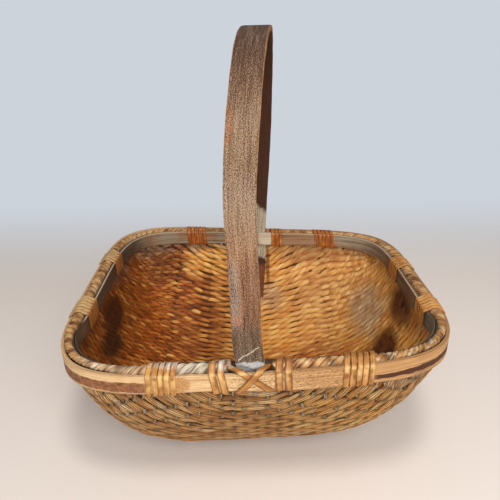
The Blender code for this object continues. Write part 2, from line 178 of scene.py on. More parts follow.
# inside, the stitches are shorter near the ends of the bowl, and the rods are fuller
# in its middle and on its front wall
end_start = 0.45
end_crowding = 14
middle_swell = ((-0.35, -0.15, 0.40, 0.55), (1.0, 1.14, 1.16, 1.0))
front_swell = 0.16
front_span = ((-0.60, -0.40, 0.40, 0.60), (0, 1, 1, 0))
row_drift = 0.0012
stitch_drift = 0.0004
strand_total = 3
outer_stations = 150
inner_stations = 200
chance = np.random.default_rng(7)


def plan_unit(u, v):
    across = (1 - np.abs(v) ** plan_power / 2) ** (1 / plan_power)
    along = (1 - np.abs(u) ** plan_power / 2) ** (1 / plan_power)
    return u * across, v * along


def rim_z(x, y):
    end = np.abs(x) / half_length
    side = np.abs(y) / half_width
    lift = rim_end_rise * end ** 2.5 + rim_side_rise * side ** 2.5
    return rim_height + lift - rim_warp * (x / half_length) * (y / half_width)


def bowl_outside(u, v):
    """Points on the outside of the bowl, one for each pair of u and v from -1 to 1."""
    unit_x, unit_y = plan_unit(u, v)
    rho = (np.abs(unit_x) ** plan_power + np.abs(unit_y) ** plan_power) ** (1 / plan_power)
    rho = np.minimum(rho, 1.0)
    x = unit_x * (half_length - wall_outer)
    y = unit_y * (half_width - wall_outer)
    local_rim = rim_height + (rim_z(x, y) - rim_height) * rho ** 2
    fall = (rim_height + foot_flat - wall_skirt) * (1 - bowl_lean * unit_x)
    depth = wall_skirt + fall * (1 - rho ** bowl_power) ** (1 / flank_power)
    return np.stack([x, y, np.maximum(local_rim - depth, 0.0)], -1)


def unit_rows(vectors):
    return vectors / np.maximum(np.linalg.norm(vectors, axis=-1, keepdims=True), 1e-9)


def bowl_inward(u, v):
    """Directions into the bowl, square to its wall."""
    small = 0.004
    du = bowl_outside(np.minimum(u + small, 1), v) - bowl_outside(np.maximum(u - small, -1), v)
    dv = bowl_outside(u, np.minimum(v + small, 1)) - bowl_outside(u, np.maximum(v - small, -1))
    square = unit_rows(np.cross(unit_rows(du), unit_rows(dv)))
    towards = bowl_outside(u, v) * np.array([-1.0, -1.0, 0.0]) + np.array([0, 0, 0.002])
    return unit_rows(square + unit_rows(towards) * 0.08)


def walk(points):
    """Distance walked along a row of points."""
    steps = np.linalg.norm(np.diff(points, axis=0), axis=1)
    return np.concatenate([[0.0], np.cumsum(steps)])


def heading(points):
    """The direction of a path at each of its points."""
    return unit_rows(np.gradient(points, axis=0))


def even_values(line, spacing):
    """How many even steps a line over the bowl has, the value at a step, and the step at a value."""
    values = np.linspace(-1, 1, 2001)
    walked = walk(line(values))
    count = round(walked[-1] / spacing)
    step = walked[-1] / count
    return (count, lambda place: np.interp(place * step, walked, values),
            lambda value: np.interp(value, values, walked) / step)


row_count, row_value, _ = even_values(lambda t: bowl_outside(0 * t, t), row_spacing)
cord_count, cord_value, cord_place = even_values(lambda t: bowl_outside(t, 0 * t), cord_spacing)


def row_v(level, u):
    """A row sags in its middle: towards its ends it climbs to the nearer long side."""
    sag = np.where(level < 0, front_sag, back_sag) * level * np.abs(level)
    return level + sag * u ** 2 + row_tilt * np.maximum(level, 0) * u


def round_stock(sides, stations):
    """A straight round stick, 1 long and 1 in radius, as corner points and faces."""
    bpy.ops.mesh.primitive_cylinder_add(vertices=sides, radius=1.0, depth=1.0,
                                        location=(0.5, 0, 0), rotation=(0, math.pi / 2, 0))
    stick = bpy.context.active_object
    bpy.ops.object.transform_apply(location=True, rotation=True, scale=True)
    return cut_lengthwise(stick, stations)


def cut_lengthwise(stick, stations):
    """Cuts a straight stick into even stations, reads it and clears it away."""
    shape = bmesh.new()
    shape.from_mesh(stick.data)
    long_edges = [edge for edge in shape.edges
                  if abs(edge.verts[0].co.x - edge.verts[1].co.x) > 0.5]
    bmesh.ops.subdivide_edges(shape, edges=long_edges, cuts=stations - 2, use_grid_fill=True)
    corners = np.array([vert.co for vert in shape.verts])
    shape.verts.index_update()
    faces = [[vert.index for vert in face.verts] for face in shape.faces]
    shape.free()
    bpy.data.objects.remove(stick)
    return corners, faces


def bend(corners, points, across, up, wide, high):
    """Lays straight stock along a path. Also gives each corner's place in the
    straight stick, along, across and through it, which the grain follows."""
    place = np.clip(corners[:, 0], 0, 1) * (len(points) - 1)

    def at(values):
        low = np.clip(np.floor(place).astype(int), 0, len(points) - 2)
        share = (place - low)[:, None]
        return values[low] * (1 - share) + values[low + 1] * share

    side = corners[:, 1:2] * at(np.broadcast_to(wide, len(points))[:, None])
    lift = corners[:, 2:3] * at(np.broadcast_to(high, len(points))[:, None])
    bent = at(points) + at(across) * side + at(up) * lift
    return bent, np.hstack([at(walk(points)[:, None]), side, lift])


def square_to(points, outward):
    """The directions across a path and square out of it."""
    ahead = heading(points)
    across = unit_rows(np.cross(ahead, outward))
    return across, unit_rows(np.cross(across, ahead))


def station_of(corners, count):
    """The station of a path at which each corner of straight stock comes to lie."""
    return np.rint(np.clip(corners[:, 0], 0, 1) * (count - 1)).astype(int)


def join_sticks(name, faces, sticks):
    """One mesh of many bent sticks. Each stick is its corners, its grain and its
    look: a tone from 0 to 1, how deep in a nook it lies, which most finishes paint
    as shade, and a third value, which the cane uses to paint a highlight at its fold."""
    count = len(sticks[0][0])
    mesh = bpy.data.meshes.new(name)
    corners = np.concatenate([stick[0] for stick in sticks])
    starts = np.arange(len(sticks)) * count
    mesh.from_pydata(corners.tolist(), [],
                     [[corner + start for corner in face] for start in starts for face in faces])
    for index, label in ((1, "grain"), (2, "look")):
        values = [np.broadcast_to(stick[index], (count, 3)) for stick in sticks]
        layer = mesh.attributes.new(label, "FLOAT_VECTOR", "POINT")
        layer.data.foreach_set("vector", np.concatenate(values).ravel())
    mesh.update()
    mesh.validate()
    piece = bpy.data.objects.new(name, mesh)
    bpy.context.scene.collection.objects.link(piece)
    outward_and_smooth(piece)
    return piece


def outward_and_smooth(piece):
    shape = bmesh.new()
    shape.from_mesh(piece.data)
    bmesh.ops.recalc_face_normals(shape, faces=shape.faces)
    shape.to_mesh(piece.data)
    shape.free()
    bpy.ops.object.select_all(action="DESELECT")
    piece.select_set(True)
    bpy.context.view_layer.objects.active = piece
    bpy.ops.object.shade_smooth_by_angle(angle=math.radians(50))
    bpy.ops.object.select_all(action="DESELECT")


def row_frame(row, u, v, depth):
    """A line in the wall along a row, with the inward and sideways directions there."""
    inward = bowl_inward(u, v)
    points = bowl_outside(u, v) + inward * depth
    ahead = heading(points)
    higher = np.clip(row_v(row_value(row + 1.0), u), -1, 1)
    lower = np.clip(row_v(row_value(row), u), -1, 1)
    beside = bowl_outside(u, higher) - bowl_outside(u, lower)
    beside -= ahead * np.sum(beside * ahead, -1, keepdims=True)
    spacing = np.clip(np.linalg.norm(beside, axis=-1) / row_spacing, 0.55, 2.0)
    return points, inward, unit_rows(np.cross(inward, ahead)), spacing


def waver(places, size, waves):
    """A slow hand-made unevenness, different at each call."""
    return size * sum(np.sin(places * wave + chance.uniform(0, 6.28)) for wave in waves)


def tuck_ends(points, *others):
    """Runs both ends of a path straight up, between the hoops."""
    rise = np.array([0, 0, row_tuck])
    start = [points[0] + rise, points[0] + rise / 2]
    end = [points[-1] + rise / 2, points[-1] + rise]
    longer = [np.vstack([start, points, end])]
    for other in others:
        longer.append(np.concatenate([other[:1], other[:1], other, other[-1:], other[-1:]]))
    return longer


def stitch_rod(row, strand, stock, stations, side, stitch):
    """One of the rods of a layer, outer for side -1 and inner for side 1. The inner
    rows lie over the furrows of the outer ones, and all run out at the rim."""
    level = row_value(row + (0.5 if side < 0 else 1.0))
    across_bowl = np.linspace(-1, 1, 801)
    inside = across_bowl[np.abs(row_v(level, across_bowl)) <= 1]
    places = np.linspace(cord_place(inside[0]), cord_place(inside[-1]), stations)
    u = cord_value(places)
    rough = stitch["unevenness"] * (1 + 0.5 * np.clip(u, 0, 1))
    v = np.clip(row_v(level, u) + waver(places, row_drift * rough, (0.5, 1.1)), -1, 1)
    points, inward, sideways, spacing = row_frame(row, u, v, stitch["middle"])
    crowded = end_crowding * np.sign(u) * np.clip(np.abs(u) - end_start, 0, 1) ** 2
    strokes = (places + row) / 2 if side < 0 else places * cord_spacing / twist_spacing + crowded
    turn = (strokes + strand) * math.tau / strand_total + waver(places, 0.10 * rough, (0.4, 1.3))
    tied = np.abs(np.cos(strokes * math.pi)) ** 12 if side < 0 else 0 * strokes
    number = np.floor(turn / math.pi).astype(int)
    number -= number.min()
    spread = chance.normal(0, 1, (5, number.max() + 1))[:, number]
    near = side * np.sin(turn)
    fullness = np.abs(np.sin(turn))
    lean = np.interp(u, *stitch["lean"])
    hand = lean * (1 + 0.12 * rough * spread[0]) + 0.10 * rough * spread[0]
    slant = stitch["slant"] * spacing * hand * np.cos(turn)
    # with little slant the rods of a row lie side by side instead
    slant += (strand - 1) * row_spacing / 3 * spacing * np.clip(1 - np.abs(lean), 0, 1)
    slant += stitch_drift * rough * spread[4] * fullness ** 2
    deep = stitch["orbit"] * (np.sin(turn) + side * 0.2 * rough * spread[1] * fullness ** 2)
    points = points + sideways * slant[:, None] + inward * deep[:, None]
    wide = stitch["width"] * spacing * (stitch["waist"] + (1 - stitch["waist"]) * fullness ** 0.8)
    wide = wide * (1 + 0.05 * rough * spread[2]) * (1 - 0.35 * tied)
    wide *= 1 + 0.3 * np.clip(1 - np.abs(lean), 0, 1) + 0.7 * np.clip(np.abs(u) - 0.6, 0, 1)
    if side > 0:
        wide *= np.interp(u, *middle_swell)
        wide *= 1 + front_swell * np.clip(-v, 0, 1) * np.interp(u, *front_span)
    high = stitch["height"] * (0.85 + 0.15 * near) * np.clip(spacing, 0.8, 1.1)
    tone = np.clip(0.5 + 0.25 * spread[3], 0, 1)
    points, inward, wide, high, deep, tone, tied = tuck_ends(
        points, inward, wide, high, deep, tone, tied)
    across, up = square_to(points, inward)
    corners, grain = bend(stock[0], points, -across, up, wide, high)
    station = station_of(stock[0], len(points))
    # how far a corner lies below the tops of the stitches, in a gap, a groove or at a tie, where shade
    # is painted
    height = deep[station] + grain[:, 2]
    top = side * (stitch["orbit"] + stitch["height"])
    groove = 1 - np.hypot(stock[0][:, 1], stock[0][:, 2])
    nook = (top - height) * side / (stitch["height"] * 2.4) + groove * 4 + tied[station] * 0.7
    grain[:, 0] += chance.uniform(0, 40)
    look = np.stack([tone[station], np.clip(nook, 0, 1), np.full(len(station), side * 0.5 + 0.5)], -1)
    return corners, grain, look


def lobed_stock(sides, stations, groove):
    """Round stock with lengthwise grooves, like a few fine rods laid together."""
    corners, faces = round_stock(sides, stations)
    angle = np.arctan2(corners[:, 2], corners[:, 1])
    corners[:, 1:] *= (1 - groove * (1 - np.cos(angle * sides / 2)) / 2)[:, None]
    return corners, faces


def layer_of_rows(name, parts, stock, stations, side, stitch):
    """All rods of one layer, in a few pieces."""
    rods = [stitch_rod(row, strand, stock, stations, side, stitch)
            for row in range(row_count - (side > 0)) for strand in range(strand_total)]
    marks = [round(len(rods) * part / parts) for part in range(parts + 1)]
    return [join_sticks(name + str(part + 1), stock[1], rods[marks[part]:marks[part + 1]])
            for part in range(parts)]


willow_rows = layer_of_rows("willow_outside_rows_", 4, lobed_stock(12, outer_stations + 4, 0.28),
                            outer_stations, -1, outer_stitch)
willow_rows += layer_of_rows("willow_inside_rows_", 4, lobed_stock(8, inner_stations + 4, 0.0),
                             inner_stations, 1, inner_stitch)


class Nodes:
    """The shader nodes of one tree, under short names."""

    def __init__(self, tree):
        self.tree = tree

    def add(self, kind, inputs=None, **settings):
        return add_node(self.tree, kind, inputs, **settings)

    def math(self, operation, *values, clamp=False):
        return self.add("Math", dict(enumerate(values)), operation=operation, use_clamp=clamp)[0]

    def vector(self, operation, *values):
        return self.add("VectorMath", dict(enumerate(values)), operation=operation)

    def times(self, *values):
        return reduce(lambda first, second: self.math("MULTIPLY", first, second), values)

    def most(self, *values):
        return reduce(lambda first, second: self.math("MAXIMUM", first, second), values)

    def total(self, rest, *parts):
        """A sum of the rest and of each value times its weight."""
        for value, weight in reversed(parts):
            rest = self.math("MULTIPLY_ADD", value, weight, rest)
        return rest

    def noise(self, vector, scale, detail=3.0, roughness=0.55):
        return self.add("TexNoise", {"Vector": vector, "Scale": scale, "Detail": detail,
                                     "Roughness": roughness})["Fac"]

    def mask(self, value, low, high):
        """0 where a value is low and 1 where it is high, changing softly."""
        return self.add("MapRange", {"Value": value, "From Min": low, "From Max": high},
                        interpolation_type="SMOOTHSTEP")[0]


def new_group(name, output, **inputs):
    """A shader group with named inputs, its input sockets and its output socket."""
    group = bpy.data.node_groups.new(name, "ShaderNodeTree")
    for label, value in inputs.items():
        kind = "NodeSocketFloat" if isinstance(value, float) else "NodeSocketVector"
        group.interface.new_socket(label, in_out="INPUT", socket_type=kind).default_value = value
    group.interface.new_socket(output, in_out="OUTPUT", socket_type="NodeSocketFloat")
    given = group.nodes.new("NodeGroupInput").outputs
    return Nodes(group), given, group.nodes.new("NodeGroupOutput").inputs[output]


def make_fibre_group():
    """Long fibres that follow the grain: a value from 0 to 1."""
    nodes, given, value = new_group("wood_fibre", "Value", Grain=(0, 0, 0), Along=30.0,
                                    Across=900.0, Contrast=1.0)
    stretch = nodes.add("CombineXYZ", {"X": given["Along"], "Y": given["Across"],
                                       "Z": given["Across"]})[0]
    noise = nodes.noise(nodes.vector("MULTIPLY", given["Grain"], stretch)[0], 1.0, 4.0, 0.6)
    wider = nodes.times(nodes.math("SUBTRACT", noise, 0.5), given["Contrast"])
    nodes.tree.links.new(nodes.math("ADD", wider, 0.5, clamp=True), value)
    return nodes.tree


def make_patch_group():
    """A ragged oval patch: 1 inside, 0 outside."""
    nodes, given, mask = new_group("ragged_patch", "Mask", Vector=(0, 0, 0), Centre=(0, 0, 0),
                                   Size=(0.02, 0.02, 0.02), Raggedness=0.5, Scale=60.0,
                                   Softness=0.35)
    away = nodes.vector("SUBTRACT", given["Vector"], given["Centre"])[0]
    far = nodes.vector("LENGTH", nodes.vector("DIVIDE", away, given["Size"])[0])["Value"]
    noise = nodes.noise(given["Vector"], given["Scale"], 3.0, 0.5)
    ragged = nodes.total(far, (nodes.math("SUBTRACT", noise, 0.5), given["Raggedness"]))
    outer = nodes.math("ADD", 1.0, given["Softness"])
    inner = nodes.math("SUBTRACT", 1.0, given["Softness"])
    nodes.tree.links.new(nodes.mask(ragged, outer, inner), mask)
    return nodes.tree


wood_fibre = make_fibre_group()
ragged_patch = make_patch_group()


class Finish(Nodes):
    """One material while it is put together: a base colour, and stains laid over it. A
    colour is red, green and blue from 0 to 255, or the output of a ramp."""

    def __init__(self, name, gloss=0.25, roughness=0.5):
        self.material = bpy.data.materials.new(name)
        self.material.use_nodes = True
        super().__init__(self.material.node_tree)
        self.shader = self.tree.nodes["Principled BSDF"]
        self.shader.inputs["Roughness"].default_value = roughness
        self.shader.inputs["Specular IOR Level"].default_value = gloss
        self.grain = self.add("Attribute", attribute_name="grain")["Vector"]
        look = self.add("Attribute", attribute_name="look")["Vector"]
        self.tone, self.nook, self.highlight_share = self.split(look)
        self.place = self.add("TexCoord")["Object"]

    def split(self, vector):
        return self.add("SeparateXYZ", {0: vector})

    def absolute(self, value):
        return self.math("ABSOLUTE", value)

    def fibre(self, along, across, contrast):
        return self.add("Group", {"Grain": self.grain, "Along": along, "Across": across,
                                  "Contrast": contrast}, node_tree=wood_fibre)["Value"]

    def stretch(self, share):
        """The grain's own place, drawn out along the grain."""
        return self.vector("MULTIPLY", self.grain, (share, 1.0, 1.0))[0]

    def patch(self, centre, size, raggedness, scale, softness, where=None):
        return self.add("Group", {
            "Vector": where or self.place, "Centre": centre, "Size": size,
            "Raggedness": raggedness, "Scale": scale, "Softness": softness},
            node_tree=ragged_patch)["Mask"]

    def ramp(self, value, *stops):
        """Colours from stop to stop, each a position and its red, green and blue."""
        made = self.tree.nodes.new("ShaderNodeValToRGB")
        self.tree.links.new(value, made.inputs[0])
        items = made.color_ramp.elements
        while len(items) < len(stops):
            items.new(0.5)
        for item, (position, *tint) in zip(items, stops):
            item.position = position
            item.color = shade(*tint)
        return made.outputs["Color"]

    def mix(self, share, *colours):
        first, second = [shade(*tint) if isinstance(tint, tuple) else tint for tint in colours]
        return self.add("Mix", {0: share, 6: first, 7: second}, data_type="RGBA")[2]

    def stain(self, share, strength, colour):
        self.base = self.mix(self.times(share, strength), self.base, colour)

    def spot(self, strength, colour, *patch):
        """A stain in one ragged patch."""
        self.stain(self.patch(*patch), strength, colour)

    def spread(self, value, low, high, first, last):
        return self.add("MapRange", {"Value": value, "From Min": low, "From Max": high,
                                     "To Min": first, "To Max": last})[0]

    def roughness(self, value, smooth, rough):
        self.tree.links.new(self.spread(value, 0, 1, smooth, rough), self.shader.inputs["Roughness"])

    def done(self, height, distance, strength):
        """Links the base colour and the bumps, and gives the material."""
        bumps = self.add("Bump", {"Height": height, "Distance": distance, "Strength": strength})[0]
        self.tree.links.new(self.base, self.shader.inputs["Base Color"])
        self.tree.links.new(bumps, self.shader.inputs["Normal"])
        return self.material


def willow_finish(name, inside):
    rod = Finish(name, 0.5 if inside else 0.3)
    streak = rod.fibre(14, 1100, 2.0)
    cloud = rod.noise(rod.place, 26, 4)
    change = rod.noise(rod.grain, 28, 3)
    amount = rod.total(-0.23, (streak, 0.48), (rod.tone, 0.42), (change, 0.56))
    x, _, z = rod.split(rod.place)
    if inside:
        # redder and darker to the left and low in the bowl, more golden to the right and in a
        # patch on the back wall left of the handle: partly the varnish's own colour, partly
        # painted shade and painted light
        red = rod.ramp(amount, (0.12, 84, 30, 8), (0.38, 152, 72, 20), (0.58, 204, 114, 38),
                       (0.78, 255, 190, 96))
        gold = rod.ramp(amount, (0.12, 202, 114, 40), (0.38, 240, 162, 72), (0.60, 255, 194, 98),
                        (0.84, 255, 226, 156))
        side = rod.mask(rod.total(x, (cloud, 0.10)), -0.060, 0.080)
        bright = rod.patch((-0.080, 0.165, 0.140), (0.038, 0.060, 0.028), 0.9, 30, 0.5)
        rod.base = rod.mix(rod.most(side, rod.times(bright, 0.95)), red, gold)
        rod.spot(1.0, red, (0.090, 0.020, 0.020), (0.140, 0.065, 0.030), 0.7, 30, 0.4)
        # the colour of the painted shade between the rods, darker to the left
        gap = rod.mix(rod.mask(x, -0.060, 0.030), (70, 26, 8), (160, 84, 30))
    else:
        # warmer at the right of the front, browner underneath
        rod.base = rod.ramp(amount, (0.10, 108, 62, 28), (0.38, 206, 144, 82),
                            (0.62, 246, 190, 120), (0.88, 255, 232, 184))
        warm = rod.ramp(amount, (0.12, 164, 98, 40), (0.4, 250, 176, 92), (0.8, 255, 232, 160))
        rod.spot(0.85, warm, (0.100, -0.165, 0.110), (0.060, 0.070, 0.065), 0.9, 30, 0.5)
        under = rod.mask(rod.total(z, (cloud, 0.02)), 0.060, 0.022)
        rod.stain(under, 0.75, rod.ramp(amount, (0.12, 104, 54, 20), (0.4, 196, 120, 56),
                                        (0.8, 246, 178, 104)))
        # the colour of the painted shade between the outer bundles
        gap = (62, 36, 18)
    grey = rod.ramp(amount, (0.2, 110, 92, 74), (0.7, 206, 192, 168))
    near_rim = rod.mask(rod.total(z, (cloud, 0.07)), 0.182, 0.210)
    rod.stain(near_rim, 0.60, grey)
    if inside:
        # bleached behind the handle, dull above that, worn pale at the right end
        dry = rod.ramp(amount, (0.2, 140, 104, 64), (0.7, 232, 190, 132))
        pale = rod.ramp(amount, (0.2, 126, 106, 82), (0.7, 220, 198, 162))
        rod.spot(0.55, dry, (0.110, 0.120, 0.110), (0.090, 0.10, 0.080), 1.2, 24, 0.6)
        rod.spot(0.5, (126, 90, 62), (0.100, 0.192, 0.144), (0.080, 0.030, 0.015), 0.9, 40, 0.5)
        rod.spot(0.75, pale, (0.184, 0.090, 0.088), (0.030, 0.052, 0.036), 1.4, 30, 0.4)
        rod.spot(0.5, grey, (0.026, 0.150, 0.080), (0.022, 0.05, 0.020), 1.6, 40, 0.5)
        # painted shade at both ends, low on the right and in the far left corner
        low_band = rod.patch((0.158, 0.004, 0.046), (0.044, 0.016, 0.034), 1.2, 50, 0.5)
        far_left = rod.patch((-0.176, 0.168, 0.140), (0.046, 0.044, 0.036), 0.9, 30, 0.5)
        painted_shade = rod.most(rod.patch((-0.209, 0.022, 0.128), (0.018, 0.046, 0.030), 1.0, 40, 0.5),
                         rod.times(rod.mask(x, -0.160, -0.210), 0.55),
                         rod.patch((0.214, 0.012, 0.132), (0.015, 0.052, 0.032), 1.0, 40, 0.5),
                         rod.patch((0.186, -0.022, 0.086), (0.034, 0.040, 0.032), 1.2, 40, 0.5),
                         rod.times(low_band, 0.8), rod.times(far_left, 0.5))
        rod.stain(painted_shade, 1.0, (50, 20, 9))
        # near black in one place at the left end, and a painted shadow beside the back leg
        rod.spot(0.94, (24, 17, 12), (-0.2045, -0.024, 0.105), (0.013, 0.034, 0.021), 1.0, 60, 0.35)
        rod.spot(0.75, (60, 34, 20), (0.0235, 0.165, 0.130), (0.0035, 0.05, 0.035), 0.6, 60, 0.4)
    else:
        rod.spot(0.85, (48, 38, 30), (0.008, -0.135, 0.020), (0.010, 0.03, 0.006), 1.2, 90, 0.3)
    # painted shade in the gaps, on the rods' flanks, in their grooves and about the ties
    rod.stain(rod.math("POWER", rod.nook, 1.1), 0.9, gap)
    rod.roughness(rod.total(streak, (near_rim, 0.5)), *((0.30, 0.55) if inside else (0.42, 0.75)))
    rod.shader.inputs["Specular Tint"].default_value = (1.0, 0.82, 0.58, 1.0)
    return rod.done(streak, 0.0007 if inside else 0.0013, 0.9)


outside_paint = willow_finish("willow_outside", False)
inside_paint = willow_finish("willow_inside", True)
for piece in willow_rows:
    piece.data.materials.append(inside_paint if "inside" in piece.name else outside_paint)
    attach(piece, "root")
    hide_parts("woven_body")


# Hemp cords of the bowl. Two crossing sets of thin grey cord run from the front rim
# to the back rim, hidden in the wall. They come out over every second row, where they
# tie the bundles of the outer layer. The ties lean, and some are worn thin.
cord_radius = 0.00085
cord_depth = 0.0027
cord_reach = 0.0019
cord_lean = 0.0060
cord_lean_spread = 0.0028
cord_sway = 0.0015
rubbed_below = 0.100
rubbed_right = 0.115
cord_sides = 6
cord_stations = 330


def laid_cord(index, hand, stock):
    u = float(cord_value(index))
    places = np.linspace(0, row_count - 1, 4 * cord_stations)
    v = row_v(row_value(places + 0.5), u)
    places = places[np.abs(v) <= 1]
    places = np.linspace(places[0], places[-1], cord_stations)
    v = row_v(row_value(places + 0.5), u)
    tie = np.rint((places + index) / 2).astype(int)
    worn = chance.uniform(0, 1, tie.max() + 1)[tie]
    lean = hand * cord_lean + chance.normal(0, cord_lean_spread, tie.max() + 1)[tie]
    wave = np.cos(math.pi * (places + index))
    over = np.clip((wave + 0.25) / 1.25, 0, 1) ** 0.7
    sway = waver(places, cord_sway, (0.35, 0.8)) + lean * np.sin(math.pi * (places + index)) * over
    u = np.clip(u + sway, -1, 1)
    inward = bowl_inward(u, v)
    place = bowl_outside(u, v)
    # low on the bowl and towards the right the ties are rubbed flat
    kept = np.clip((place[:, 2] - rubbed_below + 0.20 * np.maximum(-place[:, 0], 0)) / 0.03, 0, 1)
    kept *= np.clip((rubbed_right - place[:, 0]) / 0.04, 0.25, 1)
    reach = cord_reach * np.where(worn > kept * 0.9, 0.35, 0.88 + 0.16 * worn)
    points = place + inward * (cord_depth - over * reach)[:, None]
    across, up = square_to(points, inward)
    corners, grain = bend(stock[0], points, across, up, cord_radius, cord_radius)
    grain[:, 0] += index * 3.0
    station = station_of(stock[0], cord_stations)
    # the hidden parts are painted dark in the finish, partly as shade inside the wall
    hidden = 1 - over[station]
    return corners, grain, np.stack([worn[station], hidden, hidden], -1)


cord_stock = round_stock(cord_sides, cord_stations)
cords = [join_sticks(name, cord_stock[1],
                     [laid_cord(index, hand, cord_stock) for index in range(1, cord_count)])
         for name, hand in (("hemp_cords", -1), ("hemp_cords_crossing", 1))]


def hemp_finish():
    hemp = Finish("hemp_cord", roughness=0.9)
    twist = hemp.noise(hemp.grain, 900, 2)
    amount = hemp.total(-0.05, (twist, 0.5), (hemp.noise(hemp.place, 45, 3), 0.6))
    hemp.base = hemp.ramp(amount, (0.25, 82, 68, 52), (0.5, 140, 122, 100), (0.75, 202, 186, 162))
    # painted dark where the cords pass under the rods: partly dirt, partly painted shade inside the wall
    hemp.stain(hemp.mask(hemp.nook, 0.15, 0.7), 1.0, (40, 24, 14))
    return hemp.done(twist, 0.0004, 0.8)


hemp_paint = hemp_finish()
for piece in cords:
    piece.data.materials.append(hemp_paint)
    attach(piece, "root")
    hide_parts("woven_body")


# Outer hoop. A split pale rod, 24 mm tall and 4 mm thick, bent round the outside
# of the wall. Its ends meet under the left lashing at the back.
hoop_height = 0.0240
hoop_thickness = 0.0040
hoop_stations = 360
hoop_turn = 0.9995
hoop_top_drop = ((-0.14, -0.055, 0.0, 0.05, 0.12), (0, 0.0020, 0.0030, 0.0010, 0))
hoop_foot_drop = ((-0.14, -0.055, 0.0, 0.055, 0.12), (0, -0.0020, 0.0008, 0.0022, 0))


def flat_stock(stations, across_cuts, edge):
    """A straight flat strip, 1 long, 2 wide and 2 thick, with its long edges rounded."""
    bpy.ops.mesh.primitive_cube_add(size=2.0, location=(0, 0, 0))
    strip = bpy.context.active_object
    strip.scale = (0.5, 1.0, 1.0)
    strip.location = (0.5, 0.0, 0.0)
    bpy.ops.object.transform_apply(location=True, rotation=True, scale=True)
    shape = bmesh.new()
    shape.from_mesh(strip.data)
    cross_edges = [item for item in shape.edges
                   if abs(item.verts[0].co.y - item.verts[1].co.y) > 1.5]
    bmesh.ops.subdivide_edges(shape, edges=cross_edges, cuts=across_cuts, use_grid_fill=True)
    long_corners = [item for item in shape.edges
                    if abs(item.verts[0].co.x - item.verts[1].co.x) > 0.5
                    and abs(item.verts[0].co.y) > 0.99 and abs(item.verts[1].co.y) > 0.99]
    bmesh.ops.bevel(shape, geom=long_corners, offset=edge, segments=2, profile=0.6,
                    affect="EDGES", clamp_overlap=True)
    shape.to_mesh(strip.data)
    shape.free()
    return cut_lengthwise(strip, stations)


def corner_share(x, y):
    """1 at the two front corners of the rim, 0 along its sides."""
    place = np.clip((np.abs(x) / half_length + np.abs(y) / half_width - 1.44) / 0.18, 0, 1)
    return place * place * (3 - 2 * place) * (y < 0)


def ring_points(share, inset, drop=0.0, pull=0.0):
    """Points on the rim, for shares of one turn, counter-clockwise from the middle of
    the back. A pull draws the line outwards at the front corners."""
    place = (np.asarray(share) * 4 + 0.5) % 4
    edge = np.floor(place).astype(int)
    along = (place - edge) * 2 - 1
    u = np.choose(edge, [-along, -np.ones_like(along), along, np.ones_like(along)])
    v = np.choose(edge, [np.ones_like(along), -along, -np.ones_like(along), along])
    unit_x, unit_y = plan_unit(u, v)
    inset = inset - pull * corner_share(unit_x * half_length, unit_y * half_width)
    x = unit_x * (half_length - inset)
    y = unit_y * (half_width - inset)
    return np.stack([x, y, rim_z(x, y) + drop], -1)


def ring_path(first, last, inset, drop, stations, pull=0.0):
    """Evenly spaced stations along the rim, with the upright and inward directions."""
    dense = ring_points(np.linspace(first, last, 4000), inset, drop, pull)
    walked = walk(dense)
    wanted = np.linspace(0, walked[-1], stations)
    points = np.stack([np.interp(wanted, walked, dense[:, axis]) for axis in range(3)], -1)
    ahead = heading(points)
    inward = unit_rows(np.cross(np.array([0, 0, 1.0]), ahead))
    upright = unit_rows(np.cross(ahead, inward))
    return points, upright, inward


def share_at(x, y):
    """The share of one turn at which the rim passes nearest to a point."""
    shares = np.linspace(0, 1, 2001)
    near = ring_points(shares, 0)[:, :2] - np.array([x, y])
    return shares[np.argmin(np.linalg.norm(near, axis=1))]


def rocking(stations, size, waves):
    """Slow hand-made unevenness along a strip."""
    place = np.linspace(0, 1, stations)
    return sum(np.sin(place * wave * 6.283 + chance.uniform(0, 6.28))
               for wave in waves) * size / len(waves)


seam_share = share_at(-0.099, half_width)
hoop_stock = flat_stock(hoop_stations, 6, 0.14)
points, upright, inward = ring_path(seam_share, seam_share + hoop_turn, hoop_thickness / 2,
                                    -hoop_height / 2, hoop_stations)
wide = hoop_height / 2 + rocking(hoop_stations, 0.0003, (5, 11, 23))
# the split rod is narrower and lies lower about the foot of the handle
front = np.clip(-points[:, 1] / 0.15 - 0.2, 0, 1)
top_drop = front * np.interp(points[:, 0], *hoop_top_drop)
foot_drop = front * np.interp(points[:, 0], *hoop_foot_drop)
wide = wide + (foot_drop - top_drop) / 2
points = points - upright * ((top_drop + foot_drop) / 2)[:, None]


def lay_strip(name, stock, points, across, up, wide, high, tone):
    """One flat strip bent along a path."""
    corners, grain = bend(stock[0], points, across, up, wide, high)
    return join_sticks(name, stock[1], [(corners, grain, (tone, 0, 0))])


outer_hoop = lay_strip("outer_hoop_band", hoop_stock, points, upright, inward, wide,
                       hoop_thickness / 2, 0.5)


def run_at(x, y, path_points):
    """How far along a strip the nearest point to x, y lies."""
    away = np.linalg.norm(path_points[:, :2] - np.array([x, y]), axis=1)
    return float(walk(path_points)[np.argmin(away)])


